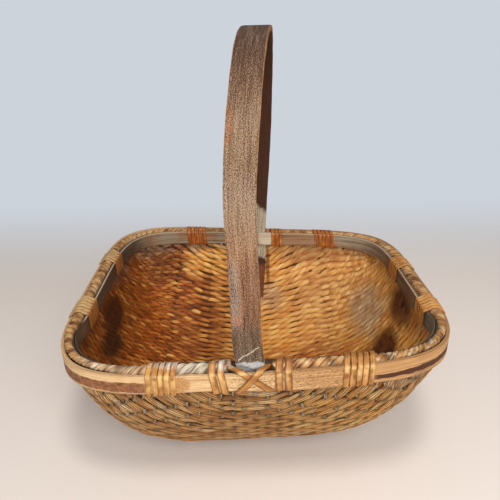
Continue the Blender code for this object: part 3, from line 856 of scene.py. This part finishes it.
def split_wood_finish(path_points):
    wood = Finish("split_hoop_wood")
    streak = wood.fibre(14, 700, 2.0)
    amount = wood.total(wood.times(wood.fibre(60, 2600, 1.8), 0.4), (streak, 0.6))
    x = wood.split(wood.place)[0]
    along, height, _ = wood.split(wood.grain)
    wood.base = wood.ramp(amount, (0.2, 166, 126, 82), (0.45, 208, 170, 122), (0.75, 230, 202, 158))
    browner = wood.mask(wood.total(x, (wood.noise(wood.place, 22, 3), 0.12)), 0.020, 0.150)
    wood.stain(browner, 0.85, wood.ramp(amount, (0.2, 108, 72, 38), (0.45, 162, 116, 68),
                                        (0.75, 198, 152, 100)))
    # strip of bark left on the lower half at the left of the front
    bark_start = run_at(-0.226, -0.060, path_points)
    bark_end = run_at(-0.1125, -0.198, path_points)
    ragged = wood.total(-0.0016, (wood.noise(wood.grain, 120, 3), 0.0032))
    level = wood.math("ADD", height, ragged)
    bark = wood.times(wood.mask(level, 0.0034, 0.0024), wood.mask(level, -0.0100, -0.0092),
                      wood.mask(along, bark_start - 0.02, bark_start + 0.02),
                      wood.mask(along, bark_end + 0.003, bark_end - 0.003))
    wood.stain(bark, 1.0, wood.ramp(wood.noise(wood.grain, 260, 4), (0.3, 96, 58, 34),
                                    (0.7, 164, 110, 72)))
    # thin dark stripe at the right of the front, which climbs and swells
    stripe_start = run_at(0.1220, -0.198, path_points)
    stripe_end = run_at(0.2290, -0.020, path_points)
    slope = wood.spread(along, stripe_start, stripe_end, -0.0050, 0.0020)
    swell = wood.spread(along, stripe_start, stripe_end, 1.0, 2.4)
    off = wood.math("DIVIDE", wood.absolute(wood.math("SUBTRACT", level, slope)), swell)
    stripe = wood.times(wood.mask(off, 0.0029, 0.0022),
                        wood.mask(along, stripe_start - 0.004, stripe_start + 0.01),
                        wood.mask(along, stripe_end + 0.02, stripe_end - 0.02))
    wood.stain(stripe, 0.95, (62, 24, 10))
    # stippled wear at the middle of the front, and one rough place
    speckle = wood.mask(wood.noise(wood.stretch(0.5), 620, 4, 0.7), 0.53, 0.60)
    middle = wood.patch((run_at(0.045, -0.199, path_points), 0, 0), (0.075, 0.02, 0.01),
                        0.8, 60, 0.5, wood.grain)
    wood.stain(wood.times(speckle, middle), 0.8, (112, 74, 40))
    rough = wood.ramp(wood.noise(wood.grain, 900, 4, 0.7), (0.35, 120, 74, 36), (0.65, 214, 160, 100))
    wood.spot(0.85, rough, (run_at(-0.0745, -0.199, path_points), -0.0005, 0),
              (0.0085, 0.0105, 0.01), 1.2, 300, 0.25, wood.grain)
    wood.stain(wood.mask(wood.absolute(level), 0.0096, 0.0118), 0.45, (140, 98, 60))
    wood.roughness(streak, 0.45, 0.75)
    return wood.done(wood.total(amount, (bark, 0.8)), 0.0005, 0.7)


outer_hoop.data.materials.append(split_wood_finish(points))
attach(outer_hoop, "root")
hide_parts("outer_hoop")


# Inner hoop. Two thin plies of weathered grey bentwood, 21 mm tall, stand inside
# the wall and the handle. The inner ply laps over itself at the back, and its ends
# are pared thin and rounded. At the front corners both press outwards.
inner_height = 0.0210
ply_thickness = 0.0022
ply_gap = 0.0003
inner_hoop_outer = 0.0171
liner_outer = inner_hoop_outer + ply_thickness + ply_gap
liner_tip_thickness = 0.0008
liner_overlap = 0.0500
liner_tip_place = 0.0100
liner_tip_trim = 0.0052
scarf_step = liner_tip_thickness + ply_gap
corner_pull = 0.0060
ply_stations = 300
ply_stock = flat_stock(ply_stations, 5, 0.2)
points, upright, inward = ring_path(seam_share, seam_share + hoop_turn,
                                    inner_hoop_outer + ply_thickness / 2, -inner_height / 2,
                                    ply_stations, corner_pull)
wide = inner_height / 2 + rocking(ply_stations, 0.0002, (4, 9, 17))
inner_hoop = lay_strip("inner_hoop_band", ply_stock, points, upright, inward, wide,
                       ply_thickness / 2, 0.4)


def liner_path():
    """The lapping strip, tip first, with its half width and half thickness at each station."""
    stations = ply_stations + 24
    first = share_at(liner_tip_place, half_width)
    first = first - 1 if first > 0.5 else first
    dense = np.linspace(0, 1.2, 5000)
    walked = walk(ring_points(first - dense, liner_outer))
    once = float(np.interp(1.0, dense, walked))
    total = once + liner_overlap
    from_start = np.linspace(0, total, stations)
    from_end = total - from_start
    shares = first - np.interp(from_start, walked, dense)
    tip = np.minimum(np.minimum(from_start, from_end), liner_overlap) / liner_overlap
    thick = liner_tip_thickness + (ply_thickness - liner_tip_thickness) * tip
    lapped = ply_thickness + ply_gap + (scarf_step - ply_thickness - ply_gap) * tip
    settled = scarf_step * np.clip(1 - (from_start - liner_overlap) / (liner_overlap / 5), 0, 1)
    outer_face = np.where(from_start < liner_overlap, lapped, settled)
    points = np.array([ring_points(np.array([share]), liner_outer + face + depth / 2,
                                   -inner_height / 2, corner_pull)[0]
                       for share, face, depth in zip(shares, outer_face, thick)])
    ahead = heading(points)
    inward = unit_rows(np.cross(ahead, np.array([0, 0, 1.0])))
    upright = unit_rows(np.cross(inward, ahead))
    trim = np.clip(1 - np.minimum(from_start, from_end) / liner_tip_trim, 0, 1)
    return points, upright, inward, inner_height / 2 - liner_tip_trim * trim ** 2, thick / 2


points, upright, inward, wide, high = liner_path()
liner_stock = flat_stock(len(points), 5, 0.2)
wide = wide + rocking(len(points), 0.0002, (3, 8, 15))
liner = lay_strip("inner_hoop_lap", liner_stock, points, upright, inward, wide, high, 0.6)


def grey_wood_finish():
    wood = Finish("grey_hoop_wood")
    streak = wood.fibre(9, 520, 1.6)
    cloud = wood.noise(wood.place, 14, 3)
    amount = wood.total(wood.times(wood.fibre(40, 2400, 1.3), 0.15), (streak, 0.55), (cloud, 0.35))
    x, y, _ = wood.split(wood.place)
    height = wood.split(wood.grain)[1]
    wood.base = wood.ramp(amount, (0.25, 76, 60, 44), (0.48, 122, 104, 82), (0.7, 168, 150, 126))
    brown = wood.most(wood.mask(wood.noise(wood.place, 26, 3), 0.50, 0.60),
                      wood.patch((0.074, 0.185, 0.180), (0.034, 0.03, 0.03), 0.8, 60, 0.4))
    wood.stain(brown, 0.6, wood.ramp(amount, (0.25, 84, 52, 30), (0.7, 164, 112, 68)))
    # darker at both ends, bare and pale at the lap beside the handle
    wood.spot(0.82, (54, 36, 26), (-0.215, 0.030, 0.180), (0.055, 0.170, 0.050), 0.6, 30, 0.5)
    wood.spot(0.5, (82, 60, 46), (0.215, 0.020, 0.180), (0.030, 0.060, 0.050), 0.8, 40, 0.5)
    wood.spot(0.9, wood.ramp(streak, (0.3, 176, 160, 134), (0.7, 226, 212, 186)),
              (0.0190, 0.180, 0.180), (0.0120, 0.030, 0.030), 0.4, 90, 0.2)
    # greenish at the right front corner, brown along the front, dark on top there
    wood.spot(0.8, wood.ramp(amount, (0.3, 84, 80, 66), (0.7, 158, 158, 140)),
              (0.205, -0.140, 0.175), (0.040, 0.055, 0.030), 0.6, 60, 0.4)
    front = wood.times(wood.mask(y, -0.110, -0.150), wood.mask(wood.absolute(x), 0.200, 0.170))
    wood.stain(front, 0.8, (92, 58, 34))
    rim_top = wood.times(wood.mask(height, 0.0090, 0.0102), wood.mask(y, -0.085, -0.105))
    wood.stain(rim_top, 0.8, (62, 44, 30))
    # farther back the top of the lapping ply is rubbed pale
    top = wood.times(wood.mask(height, 0.0094, 0.0104), wood.mask(wood.tone, 0.45, 0.55),
                     wood.mask(y, -0.098, -0.082))
    wood.stain(top, 0.65, (198, 178, 156))
    wood.roughness(streak, 0.5, 0.8)
    return wood.done(amount, 0.0005, 0.8)


grey_paint = grey_wood_finish()
for piece, stands_for in ((inner_hoop, "inner_hoop"), (liner, "inner_hoop_liner")):
    piece.data.materials.append(grey_paint)
    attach(piece, "root")
    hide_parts(stands_for)


# Handle. One bentwood strap, 32 mm wide, steamed into a tall arch. Both tails
# slip down between the wall and the inner hoop, and the front one has a pointed
# shoulder where it is pared to go in.
handle_width = 0.0318
handle_thickness = 0.0062
handle_rise = 0.3260
handle_power = 2.8
handle_tail = 0.1180
tail_tip_thickness = 0.0025
tail_tip_width = 0.0220
tail_taper_length = 0.0600
tail_clearance = 0.0008
strap_outer = wall_outer + wall_thickness + ply_gap
sway_places = (-0.0030, -0.0075, 0.0105, 0.0155, 0.0040)
handle_stations = 420
leg_narrowing = ((0.25, 0.32), (0.94, 1.0))
leg_bow = 0.0047
leg_bow_run = 0.212
leg_bow_spread = 0.060
shoulder_depth = 0.0042
shoulder_fade = 0.0480
shoulder_point = (0.0090, -0.0055)
shoulder_slopes = (0.37, 1.20)
shoulder_edge = 0.0012


def sway(share):
    """Sideways bow of the strap: one smooth line through five places."""
    marks = np.linspace(0, 1, len(sway_places))
    curve = np.polyfit(marks, sway_places, len(marks) - 1)
    return np.polyval(curve, share)


def strap_line():
    """Outer face of the strap from the front tail to the back one, as y and z."""
    reach = half_width - strap_outer
    v = np.sin((np.linspace(1.0, 0.5, 200) - 0.5) * math.pi)
    wall = bowl_outside(0 * v, v) + bowl_inward(0 * v, v) * (wall_thickness + tail_clearance)
    tail = [(reach, rim_height - wall_skirt)]
    for _, y, z in wall:
        if z < tail[-1][1] - 0.0005 and y < reach:
            tail.append((y, z))
    tail = np.array(tail)
    walked = walk(tail) + wall_skirt
    depths = np.linspace(wall_skirt, handle_tail, 30)
    tail = np.stack([np.interp(depths, walked, tail[:, axis]) for axis in range(2)], -1)
    leg = np.stack([np.full(12, reach), np.linspace(rim_height, rim_height - wall_skirt, 13)[:-1]], -1)
    down = np.vstack([leg, tail])
    turn = np.linspace(0, math.pi, 400)[1:-1]
    side = np.sign(np.cos(turn)) * np.abs(np.cos(turn)) ** (2 / handle_power)
    lift = np.abs(np.sin(turn)) ** (2 / handle_power)
    arch = np.stack([-reach * side, rim_height + handle_rise * lift], -1)
    front = down[::-1] * np.array([-1, 1])
    return np.vstack([front, arch, down])


def handle_path():
    line = strap_line()
    walked = walk(line)
    total = walked[-1]
    wanted = np.linspace(0, total, handle_stations)
    y = np.interp(wanted, walked, line[:, 0])
    z = np.interp(wanted, walked, line[:, 1])
    share = np.clip((wanted - handle_tail) / (total - 2 * handle_tail), 0, 1)
    outer = np.stack([sway(share), y, z], -1)
    ahead = unit_rows(np.gradient(outer * np.array([0, 1, 1]), axis=0))
    inward = np.stack([0 * y, ahead[:, 2], -ahead[:, 1]], -1)
    tip = np.minimum(np.minimum(wanted, total - wanted) / tail_taper_length, 1.0)
    thick = tail_tip_thickness + (handle_thickness - tail_tip_thickness) * tip
    wide = tail_tip_width + (handle_width - tail_tip_width) * tip
    points = outer + inward * (thick / 2)[:, None]
    across = np.tile(np.array([1.0, 0, 0]), (len(points), 1))
    return points, across, inward, wide / 2, thick / 2, wanted, total


points, across, inward, wide, high, handle_runs, handle_length = handle_path()
handle_stock = flat_stock(handle_stations, 9, 0.30)
wide = wide + rocking(handle_stations, 0.0004, (3, 7, 13, 29))
# the front leg is a little narrower and bows to the right above its foot
wide = wide * np.interp(handle_runs, *leg_narrowing)
bow = leg_bow * np.exp(-((handle_runs - leg_bow_run) / leg_bow_spread) ** 2)
points = points + across * bow[:, None]
corners, grain = bend(handle_stock[0], points, across, inward, wide, high)
# above the pointed shoulder the outer face stands proud of the pared tail
local_x = grain[:, 1] - shoulder_point[0]
slope = np.where(local_x < 0, *shoulder_slopes)
above = grain[:, 0] - (handle_tail + shoulder_point[1] + np.abs(local_x) * slope)
push = np.clip(above / shoulder_edge, 0, 1) * np.clip(1 - above / shoulder_fade, 0, 1) ** 1.5
outer_side = np.clip(-grain[:, 2] / 0.0015, 0, 1)
corners[:, 1] -= push * outer_side * shoulder_depth
handle = join_sticks("handle_strap", handle_stock[1], [(corners, grain, (0.5, 0, 0))])


def handle_finish(length):
    wood = Finish("handle_wood", 0.12)
    speckle = wood.noise(wood.stretch(0.7), 960, 3, 0.75)
    streak = wood.fibre(26, 420, 1.5)
    cloud = wood.noise(wood.grain, 34, 4, 0.6)
    along, across, _ = wood.split(wood.grain)
    drifted = wood.total(wood.math("ADD", along, -0.020), (cloud, 0.040))
    # lacquer worn to tan by hands and weather up the front leg, dark over the top
    wood.base = wood.ramp(wood.math("DIVIDE", drifted, length), *[
        (run / length, *tint) for run, *tint in (
            (0.118, 112, 94, 74), (0.152, 114, 88, 64), (0.176, 134, 94, 64),
            (0.216, 148, 106, 74), (0.240, 156, 114, 80), (0.268, 150, 119, 93),
            (0.296, 152, 126, 104), (0.332, 134, 106, 81), (0.366, 130, 104, 81),
            (0.390, 110, 82, 60), (0.408, 90, 60, 40), (0.432, 76, 49, 33),
            (0.465, 70, 46, 33), (0.545, 68, 44, 31), (0.620, 68, 40, 26),
            (0.940, 72, 42, 28))])
    fade = wood.mask(along, 0.640, 0.560)
    # grey-mauve left side low down, dark red-brown right of a crack
    low = wood.times(wood.mask(along, 0.150, 0.170), wood.mask(along, 0.250, 0.222))
    left = wood.mask(wood.total(across, (cloud, 0.008)), 0.0000, -0.0030)
    wood.stain(wood.times(low, left), 0.85, (148, 126, 110))
    right = wood.mask(wood.total(across, (cloud, 0.006)), 0.0015, 0.0045)
    wood.stain(wood.times(low, right), 0.55, (110, 70, 44))
    wood.spot(0.5, (190, 126, 92), (0.172, -0.0090, 0), (0.006, 0.006, 0.01), 1.2, 120, 0.4, wood.grain)
    wood.spot(0.55, (150, 84, 40), (0.362, -0.0125, 0), (0.016, 0.0040, 0.01), 1.4, 160, 0.5,
              wood.grain)
    # bare pale wood where the back leg is pared to go in
    ragged = wood.total(along, (cloud, 0.030))
    slanted = wood.total(ragged, (across, -0.9))
    pared = wood.times(wood.mask(slanted, length - 0.1650, length - 0.1560),
                       wood.mask(ragged, length - 0.0620, length - 0.0720))
    wood.stain(pared, 0.9, (206, 190, 164))
    wood.stain(wood.mask(along, length - 0.0740, length - 0.0640), 0.8, (140, 80, 48))
    # dark speckled wood above the front foot, which is pale grey and weathered
    wood.stain(wood.mask(along, 0.176, 0.154), 0.75, (82, 62, 46))
    foot = wood.mask(wood.total(along, (cloud, 0.010)), 0.1310, 0.1280)
    wood.stain(foot, 0.9, wood.ramp(speckle, (0.3, 158, 156, 156), (0.7, 222, 222, 224)))
    # pits and flecks of the rubbed surface
    fleck = wood.total(speckle, (streak, 0.22))
    wood.stain(wood.mask(fleck, 0.62, 0.49), wood.total(0.95, (foot, -0.60)), (66, 42, 30))
    wood.stain(wood.mask(fleck, 0.62, 0.74), wood.total(0.05, (fade, 0.30)), (210, 188, 166))
    # dark crack down the front leg, and a pale one that climbs to the right above the foot
    wander = wood.total(-0.0035, (wood.noise(wood.grain, 130, 4, 0.7), 0.0070))
    off = wood.math("ADD", wood.math("ADD", across, 0.0012), wander)
    crack = wood.times(wood.mask(wood.absolute(off), 0.0008, 0.0002), wood.mask(cloud, 0.44, 0.52))
    wood.stain(wood.times(crack, low), 0.8, (44, 28, 20))
    climb = wood.total(wood.math("ADD", along, -0.1342), (across, -0.627), (wander, 0.8))
    side = wood.absolute(across)
    torn = wood.times(wood.mask(wood.absolute(climb), 0.0011, 0.0003),
                      wood.mask(side, 0.0125, 0.0105), wood.mask(speckle, 0.36, 0.50))
    wood.stain(torn, 0.8, (206, 196, 176))
    # rubbed edges
    edge = wood.mask(wood.total(side, (speckle, 0.0022)), 0.0160, 0.0168)
    wood.stain(edge, wood.total(0.15, (fade, 0.40)), (176, 126, 80))
    wood.roughness(wood.total(streak, (fade, 0.3)), 0.42, 0.75)
    return wood.done(wood.total(speckle, (streak, 0.4)), 0.0011, 0.9)


handle.data.materials.append(handle_finish(handle_length))
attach(handle, "root")
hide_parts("handle")


# Rim plait. Three strands of twisted willow twigs lie in the channel between the
# hoops, in two runs that stop beside the handle's feet. At the two front corners
# they thin out and ride up on the hoops.
plait_middle = 0.01055
plait_rise = -0.0004
plait_end_gap = 0.0095
plait_station = 0.0022
plait_pull = 0.45 * corner_pull
corner_thinning = 0.36
corner_rise = 0.0020
strand_radius = 0.0033
strand_lift = 0.0025
strand_reach = 0.0044
strand_pitch = 0.0092
strand_count = 3
back_sink = 0.0030
foot_places = {"front": -0.0030, "back": 0.0040}


def plait_run(hand):
    """Shares of one turn between the back foot and the front foot, on one side."""
    reach = handle_width / 2 + plait_end_gap
    start = share_at(foot_places["back"] + hand * reach, half_width)
    end = share_at(foot_places["front"] + hand * reach, -half_width)
    if hand > 0:
        start = start if start > 0.5 else start + 1
        return start, end
    return (start if start < 0.5 else start - 1), end


def add_plait(name, hand):
    first, last = plait_run(hand)
    length = walk(ring_points(np.linspace(first, last, 2000), plait_middle))[-1]
    stations = int(length / plait_station)
    middle, upright, inward = ring_path(first, last, plait_middle, plait_rise, stations, plait_pull)
    thinned = corner_share(middle[:, 0], middle[:, 1])
    slim = 1 - corner_thinning * thinned
    middle = middle + upright * (corner_rise * thinned)[:, None]
    middle[:, 2] -= back_sink * np.clip((middle[:, 1] - 0.10) / 0.06, 0, 1)
    run = walk(middle)
    stretch = 1 + 0.18 * np.sin(run * 9.0 + chance.uniform(0, 6.28))
    turn = np.cumsum(np.gradient(run) / stretch / slim) / (strand_pitch * strand_count) * math.tau
    stock = lobed_stock(10, stations, 0.08)
    strands = []
    for strand in range(strand_count):
        angle = turn + strand * math.tau / strand_count
        outward = upright * np.cos(angle)[:, None] + inward * np.sin(angle)[:, None]
        points = middle + upright * (np.cos(angle) * strand_lift * slim)[:, None]
        points += inward * (np.sin(angle) * strand_reach * slim)[:, None]
        across, up = square_to(points, outward)
        size = strand_radius * slim * (1 + rocking(stations, 0.16, (17, 31, 53, 71)))
        corners, grain = bend(stock[0], points, across, up, size * 1.12, size * 0.95)
        grain[:, 0] += strand * 3.0
        groove = 1 - np.hypot(stock[0][:, 1], stock[0][:, 2])
        place = stock[0][:, 0] * (stations - 1)
        # how far the strand dips into the channel; with the grooves it is painted as shade
        sunk = 1 - np.interp(place, np.arange(stations), np.cos(angle) * 0.5 + 0.5)
        tone = np.interp(place, np.arange(stations), rocking(stations, 1.2, (19, 37, 59)) + 0.5)
        look = np.stack([tone, groove * 2.6 + sunk * 0.80, 0 * groove], -1)
        strands.append((corners, grain, look))
    return join_sticks(name, stock[1], strands)


def plait_finish():
    twig = Finish("plait_rods")
    streak = twig.fibre(16, 620, 1.8)
    cloud = twig.noise(twig.place, 30, 3)
    amount = twig.total(-0.08, (streak, 0.62), (twig.tone, 0.22), (cloud, 0.30))
    twig.base = twig.ramp(amount, (0.25, 104, 64, 34), (0.48, 182, 132, 80), (0.78, 222, 178, 124))
    front = twig.mask(twig.split(twig.place)[1], -0.120, -0.160)
    dapple = twig.mask(twig.noise(twig.place, 110, 4), 0.56, 0.64)
    left = twig.patch((-0.150, -0.190, 0.185), (0.040, 0.03, 0.03), 1.4, 90, 0.5)
    bleached = twig.most(twig.times(dapple, twig.total(0.25, (front, 0.75))),
                         twig.patch((-0.060, -0.190, 0.190), (0.024, 0.03, 0.03), 0.8, 60, 0.4),
                         twig.times(left, 0.4))
    twig.stain(bleached, 0.8, twig.ramp(amount, (0.25, 134, 120, 100), (0.6, 228, 218, 198)))
    # painted shade in the grooves and where the strands dip into the channel
    twig.stain(twig.math("POWER", twig.nook, 1.2), 0.85, (40, 26, 18))
    twig.roughness(streak, 0.5, 0.8)
    return twig.done(streak, 0.0011, 0.9)


plait_paint = plait_finish()
for name, hand in (("rim_plait_left", -1), ("rim_plait_right", 1)):
    plait = add_plait(name + "_strands", hand)
    plait.data.materials.append(plait_paint)
    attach(plait, "root")
    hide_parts(name)


# Cane lashings. Flat glossy cane, 5.6 mm wide and wider beside the front foot of
# the handle, is wound tightly round the hoops and the wall, through slots parted
# between the rods. Each group is one strip.
cane_width = 0.0056
cane_thickness = 0.0012
cane_pitch = 0.0066
cane_gap = 0.0004
cane_offset = cane_gap + cane_thickness / 2
cane_bend = 0.0016
cane_slip = 0.0003
plait_diameter = 0.0110
rim_inner = liner_outer + ply_thickness
rim_lashings = [
    ("front_left_lashing", "front", -0.0950, 5),
    ("front_right_lashing", "front", 0.1100, 5),
    ("back_left_lashing", "back", -0.0990, 5),
    ("back_right_lashing", "back", 0.1185, 5),
    ("left_front_lashing", "left", -0.0620, 6),
    ("left_back_lashing", "left", 0.0730, 5),
    ("right_front_lashing", "right", -0.0800, 6),
    ("right_back_lashing", "right", 0.0505, 6),
]
foot_lashings = [
    ("front_foot_lashing_left", "front", -0.0341, 2, 0.0076, 0.0094, -0.20),
    ("front_foot_lashing_right", "front", 0.0337, 2, 0.0078, 0.0096, -0.06),
    ("back_foot_lashing_left", "back", -0.0344, 3, 0.0056, 0.0066, 0.0),
    ("back_foot_lashing_right", "back", 0.0380, 3, 0.0056, 0.0066, 0.0),
]


def rim_place(side, place, inset, drop):
    """A point of the rim's section, at a place along one side from its middle."""
    spans = (half_width, half_length) if side in ("front", "back") else (half_length, half_width)
    share = min(abs(place) / (spans[1] - inset), 0.999)
    out = (spans[0] - inset) * (1 - share ** plan_power) ** (1 / plan_power)
    x, y = {"front": (place, -out), "back": (place, out),
            "left": (-out, place), "right": (out, place)}[side]
    return np.array([x, y, rim_z(x, y) + drop])


def soften(line, radius, steps):
    """Rounds each corner of a line of (place, inset, drop)."""
    line = [np.array(item) for item in line]
    rounded = [line[0]]
    for before, corner, after in zip(line, line[1:], line[2:]):
        back = before - corner
        forth = after - corner
        start = corner + back * min(radius / np.linalg.norm(back), 0.45)
        end = corner + forth * min(radius / np.linalg.norm(forth), 0.45)
        for share in np.linspace(0, 1, steps):
            rounded.append(start * (1 - share) ** 2 + corner * 2 * share * (1 - share)
                           + end * share ** 2)
    rounded.append(line[-1])
    return rounded


def rim_direction(side, place):
    ahead = rim_place(side, place + 0.0005, 0, 0) - rim_place(side, place - 0.0005, 0, 0)
    return ahead / np.linalg.norm(ahead)


def cane_path(side, line):
    """Stations of a strip with its width laid along the rim."""
    points = np.array([rim_place(side, *item) for item in line])
    middle = rim_place(side, line[0][0], rim_inner / 2, -hoop_height / 2)
    ahead = heading(points)
    along_rim = np.array([rim_direction(side, item[0]) for item in line])
    outward = unit_rows(np.cross(along_rim, ahead))
    flip = np.where(np.sum(outward * (points - middle), 1) < 0, -1.0, 1.0)
    outward = outward * flip[:, None]
    slant = np.sum(ahead * along_rim, 1)
    return points, along_rim / np.sqrt(1 - slant ** 2)[:, None], outward


def loop_profile(extra, sink):
    """One turn round the rim as (inset, drop), from the inside bottom outward."""
    bow = plait_diameter / 2 + cane_offset
    angles = (150, 110, 70, 30)
    arc = bow / math.cos(math.radians(20)) + cane_gap
    top = [(plait_middle + arc * math.cos(math.radians(angle)),
            plait_rise - sink + arc * math.sin(math.radians(angle))) for angle in angles]
    inner = rim_inner + cane_offset + extra
    under = cane_offset + cane_gap
    return [(wall_outer, -hoop_height - under), (0.0004, -hoop_height - under),
            (-cane_offset, -hoop_height - cane_gap), (-cane_offset, 0.0), *top,
            (inner, cane_offset / 2), (inner, -inner_height),
            (inner - cane_offset, -inner_height - under)]


def domed_stock(stations):
    """A flat cane strip whose outer face is domed."""
    corners, faces = flat_stock(stations, 5, 0.35)
    dome = (1 - np.clip(np.abs(corners[:, 1]), 0, 1) ** 2) * 0.55
    corners[:, 2] += np.where(corners[:, 2] > 0, dome - 0.35, 0)
    return corners, faces


def cane_look(line, stations):
    """Marks the fold over the hoop's edge, where a highlight is painted, and the part inside the bowl.
    """
    inset = np.array([item[1] for item in line])
    drop = np.array([item[2] for item in line])
    fold = np.exp(-((drop + 0.0012) / 0.0016) ** 2) * (inset < wall_outer)
    inside = np.clip((inset - rim_inner + 0.0020) / 0.0025, 0, 1)
    return inside[stations], fold[stations]


def cane_strip(name, side, line, strip, tone):
    """One strip of cane laid along a line of (place, inset, drop)."""
    line = soften(line, cane_bend, 4)
    points, across, outward = cane_path(side, line)
    stock = domed_stock(len(points))
    wide = strip / 2 * (1 + rocking(len(points), 0.04, (3, 7, 11)))
    corners, grain = bend(stock[0], points, across, outward, wide, cane_thickness / 2)
    grain[:, 0] += chance.uniform(0, 50)
    station = station_of(stock[0], len(points))
    inside, fold = cane_look(line, station)
    look = np.stack([0 * fold + tone, inside, fold], -1)
    return join_sticks(name + "_cane", stock[1], [(corners, grain, look)])


def wind_cane(name, side, place, turns, strip=cane_width, pitch=cane_pitch, lean=0.0, extra=0.0):
    profile = loop_profile(extra, back_sink if side == "back" else 0.0)
    count = len(profile)
    first = place - (turns - 1) * pitch / 2
    inside = strap_outer + handle_thickness / 2
    low = -(hoop_height + inner_height) / 2 - cane_offset - cane_gap
    line = [(first - pitch / 2, inside, low)]
    for turn in range(turns):
        slip = chance.uniform(-cane_slip, cane_slip)
        for index, (inset, drop) in enumerate(profile):
            along = first + pitch * (turn + (index + 1) / (count + 1) - 0.5)
            line.append((along + slip + lean * (drop + hoop_height / 2), inset, drop))
    line.append((first + pitch * (turns - 0.5), inside, low))
    return cane_strip(name, side, line, strip, chance.uniform(0, 1))


def cane_finish():
    cane = Finish("cane", 0.45)
    streak = cane.fibre(20, 1100, 1.8)
    cloud = cane.noise(cane.grain, 70, 4)
    amount = cane.total(-0.16, (streak, 0.45), (cloud, 0.75), (cane.tone, 0.12))
    x, y, _ = cane.split(cane.place)
    left = cane.mask(x, -0.150, -0.190)
    cane.base = cane.ramp(amount, (0.25, 108, 60, 20), (0.5, 168, 110, 46), (0.75, 208, 156, 80))
    # deeper in colour at the back and inside the bowl
    deep = cane.ramp(amount, (0.25, 98, 42, 10), (0.5, 172, 92, 30), (0.75, 236, 158, 76))
    deep = cane.mix(cane.times(left, 0.7), deep, (136, 96, 54))
    deeper = cane.most(cane.times(cane.mask(y, 0.120, 0.170), 0.8), cane.times(cane.nook, 0.9))
    cane.stain(deeper, 1.0, deep)
    # dry and tan at the left end, golden at the right, worn grey on top here and there
    tan = cane.ramp(amount, (0.25, 140, 106, 60), (0.6, 206, 172, 116))
    cane.stain(cane.times(left, cane.math("SUBTRACT", 1.0, cane.nook)), 0.8, tan)
    golden = cane.ramp(amount, (0.25, 146, 86, 34), (0.5, 212, 146, 70), (0.75, 244, 190, 114))
    cane.stain(cane.mask(x, 0.180, 0.205), 0.7, golden)
    worn = cane.most(cane.patch((-0.085, -0.186, 0.195), (0.026, 0.016, 0.0045), 1.4, 200, 0.4),
                     cane.patch((-0.030, -0.188, 0.193), (0.010, 0.012, 0.0045), 1.0, 200, 0.3))
    cane.stain(worn, 0.7, cane.ramp(streak, (0.3, 150, 140, 126), (0.7, 226, 222, 212)))
    # a painted highlight where it folds over the hoop, and painted shade along its two edges
    cane.stain(cane.times(cane.highlight_share, cane.mask(cloud, 0.40, 0.55)), 0.55, (252, 214, 146))
    side = cane.mask(cane.absolute(cane.split(cane.grain)[1]), 0.0020, 0.0029)
    cane.stain(side, cane.total(0.6, (deeper, 0.30)), (100, 48, 16))
    cane.roughness(streak, 0.26, 0.50)
    return cane.done(streak, 0.0005, 0.8)


cane_paint = cane_finish()


def dress_cane(piece, stands_for):
    piece.data.materials.append(cane_paint)
    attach(piece, "root")
    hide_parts(stands_for)


for name, side, place, turns in rim_lashings:
    dress_cane(wind_cane(name, side, place, turns), name)
for name, side, place, turns, strip, pitch, lean in foot_lashings:
    extra = scarf_step if name == "back_foot_lashing_right" else 0.0
    dress_cane(wind_cane(name, side, place, turns, strip, pitch, lean, extra), name)


# Cross strips. Two short canes cross on the outer hoop at each foot of the
# handle. Each is tucked in beside the strap and into the slot on the other side.
cross_width = 0.0072
cross_places = {("front", False): (-0.0236, 0.0228), ("front", True): (0.0192, -0.0135),
                ("back", False): (-0.0205, 0.0199), ("back", True): (0.0205, -0.0199)}
cross_edge_reach = 0.0108
cross_tuck_depth = 0.0070
cross_edge_drop = 0.0008
wall_top = plait_rise - plait_diameter / 2 - 0.0006


def cross_strip(side, over):
    middle = foot_places[side]
    top = middle + cross_places[side, over][0]
    low = middle + cross_places[side, over][1]
    edge = middle + (1 if over else -1) * cross_edge_reach
    inside = strap_outer + handle_thickness / 2
    lift = cane_thickness + cane_gap if over else 0.0
    above = cane_offset + cane_gap
    down = -hoop_height - cane_offset - cane_gap
    # at the front the under strip starts over the inner hoop, the others beside the handle
    line = [(top, inside, -cross_tuck_depth), (top, inside, wall_top + cane_offset)]
    if side == "front" and not over:
        line = [(top, rim_inner + cane_offset, -inner_height / 2), (top, rim_inner + cane_offset, above)]
    line += [(top, strap_outer, above), ((top + edge) / 2, strap_outer / 2, above),
             (edge, 0.0004, above)]
    faces = 7
    for index in range(faces):
        share = (index + 0.5) / faces
        bulge = math.sin(share * math.pi) ** 0.5 if 0 < index < faces - 1 else 0.0
        fall = (hoop_height + cane_gap - cross_edge_drop) * index / (faces - 1)
        line.append((edge + (low - edge) * share, -cane_offset - lift * bulge, -cross_edge_drop - fall))
    line += [(low, 0.0004, down), (low, wall_outer + wall_thickness / 2, down)]
    name = side + "_cross_" + ("over" if over else "under")
    dress_cane(cane_strip(name, side, line, cross_width, 0.5), name)


for side in ("front", "back"):
    for over in (False, True):
        cross_strip(side, over)
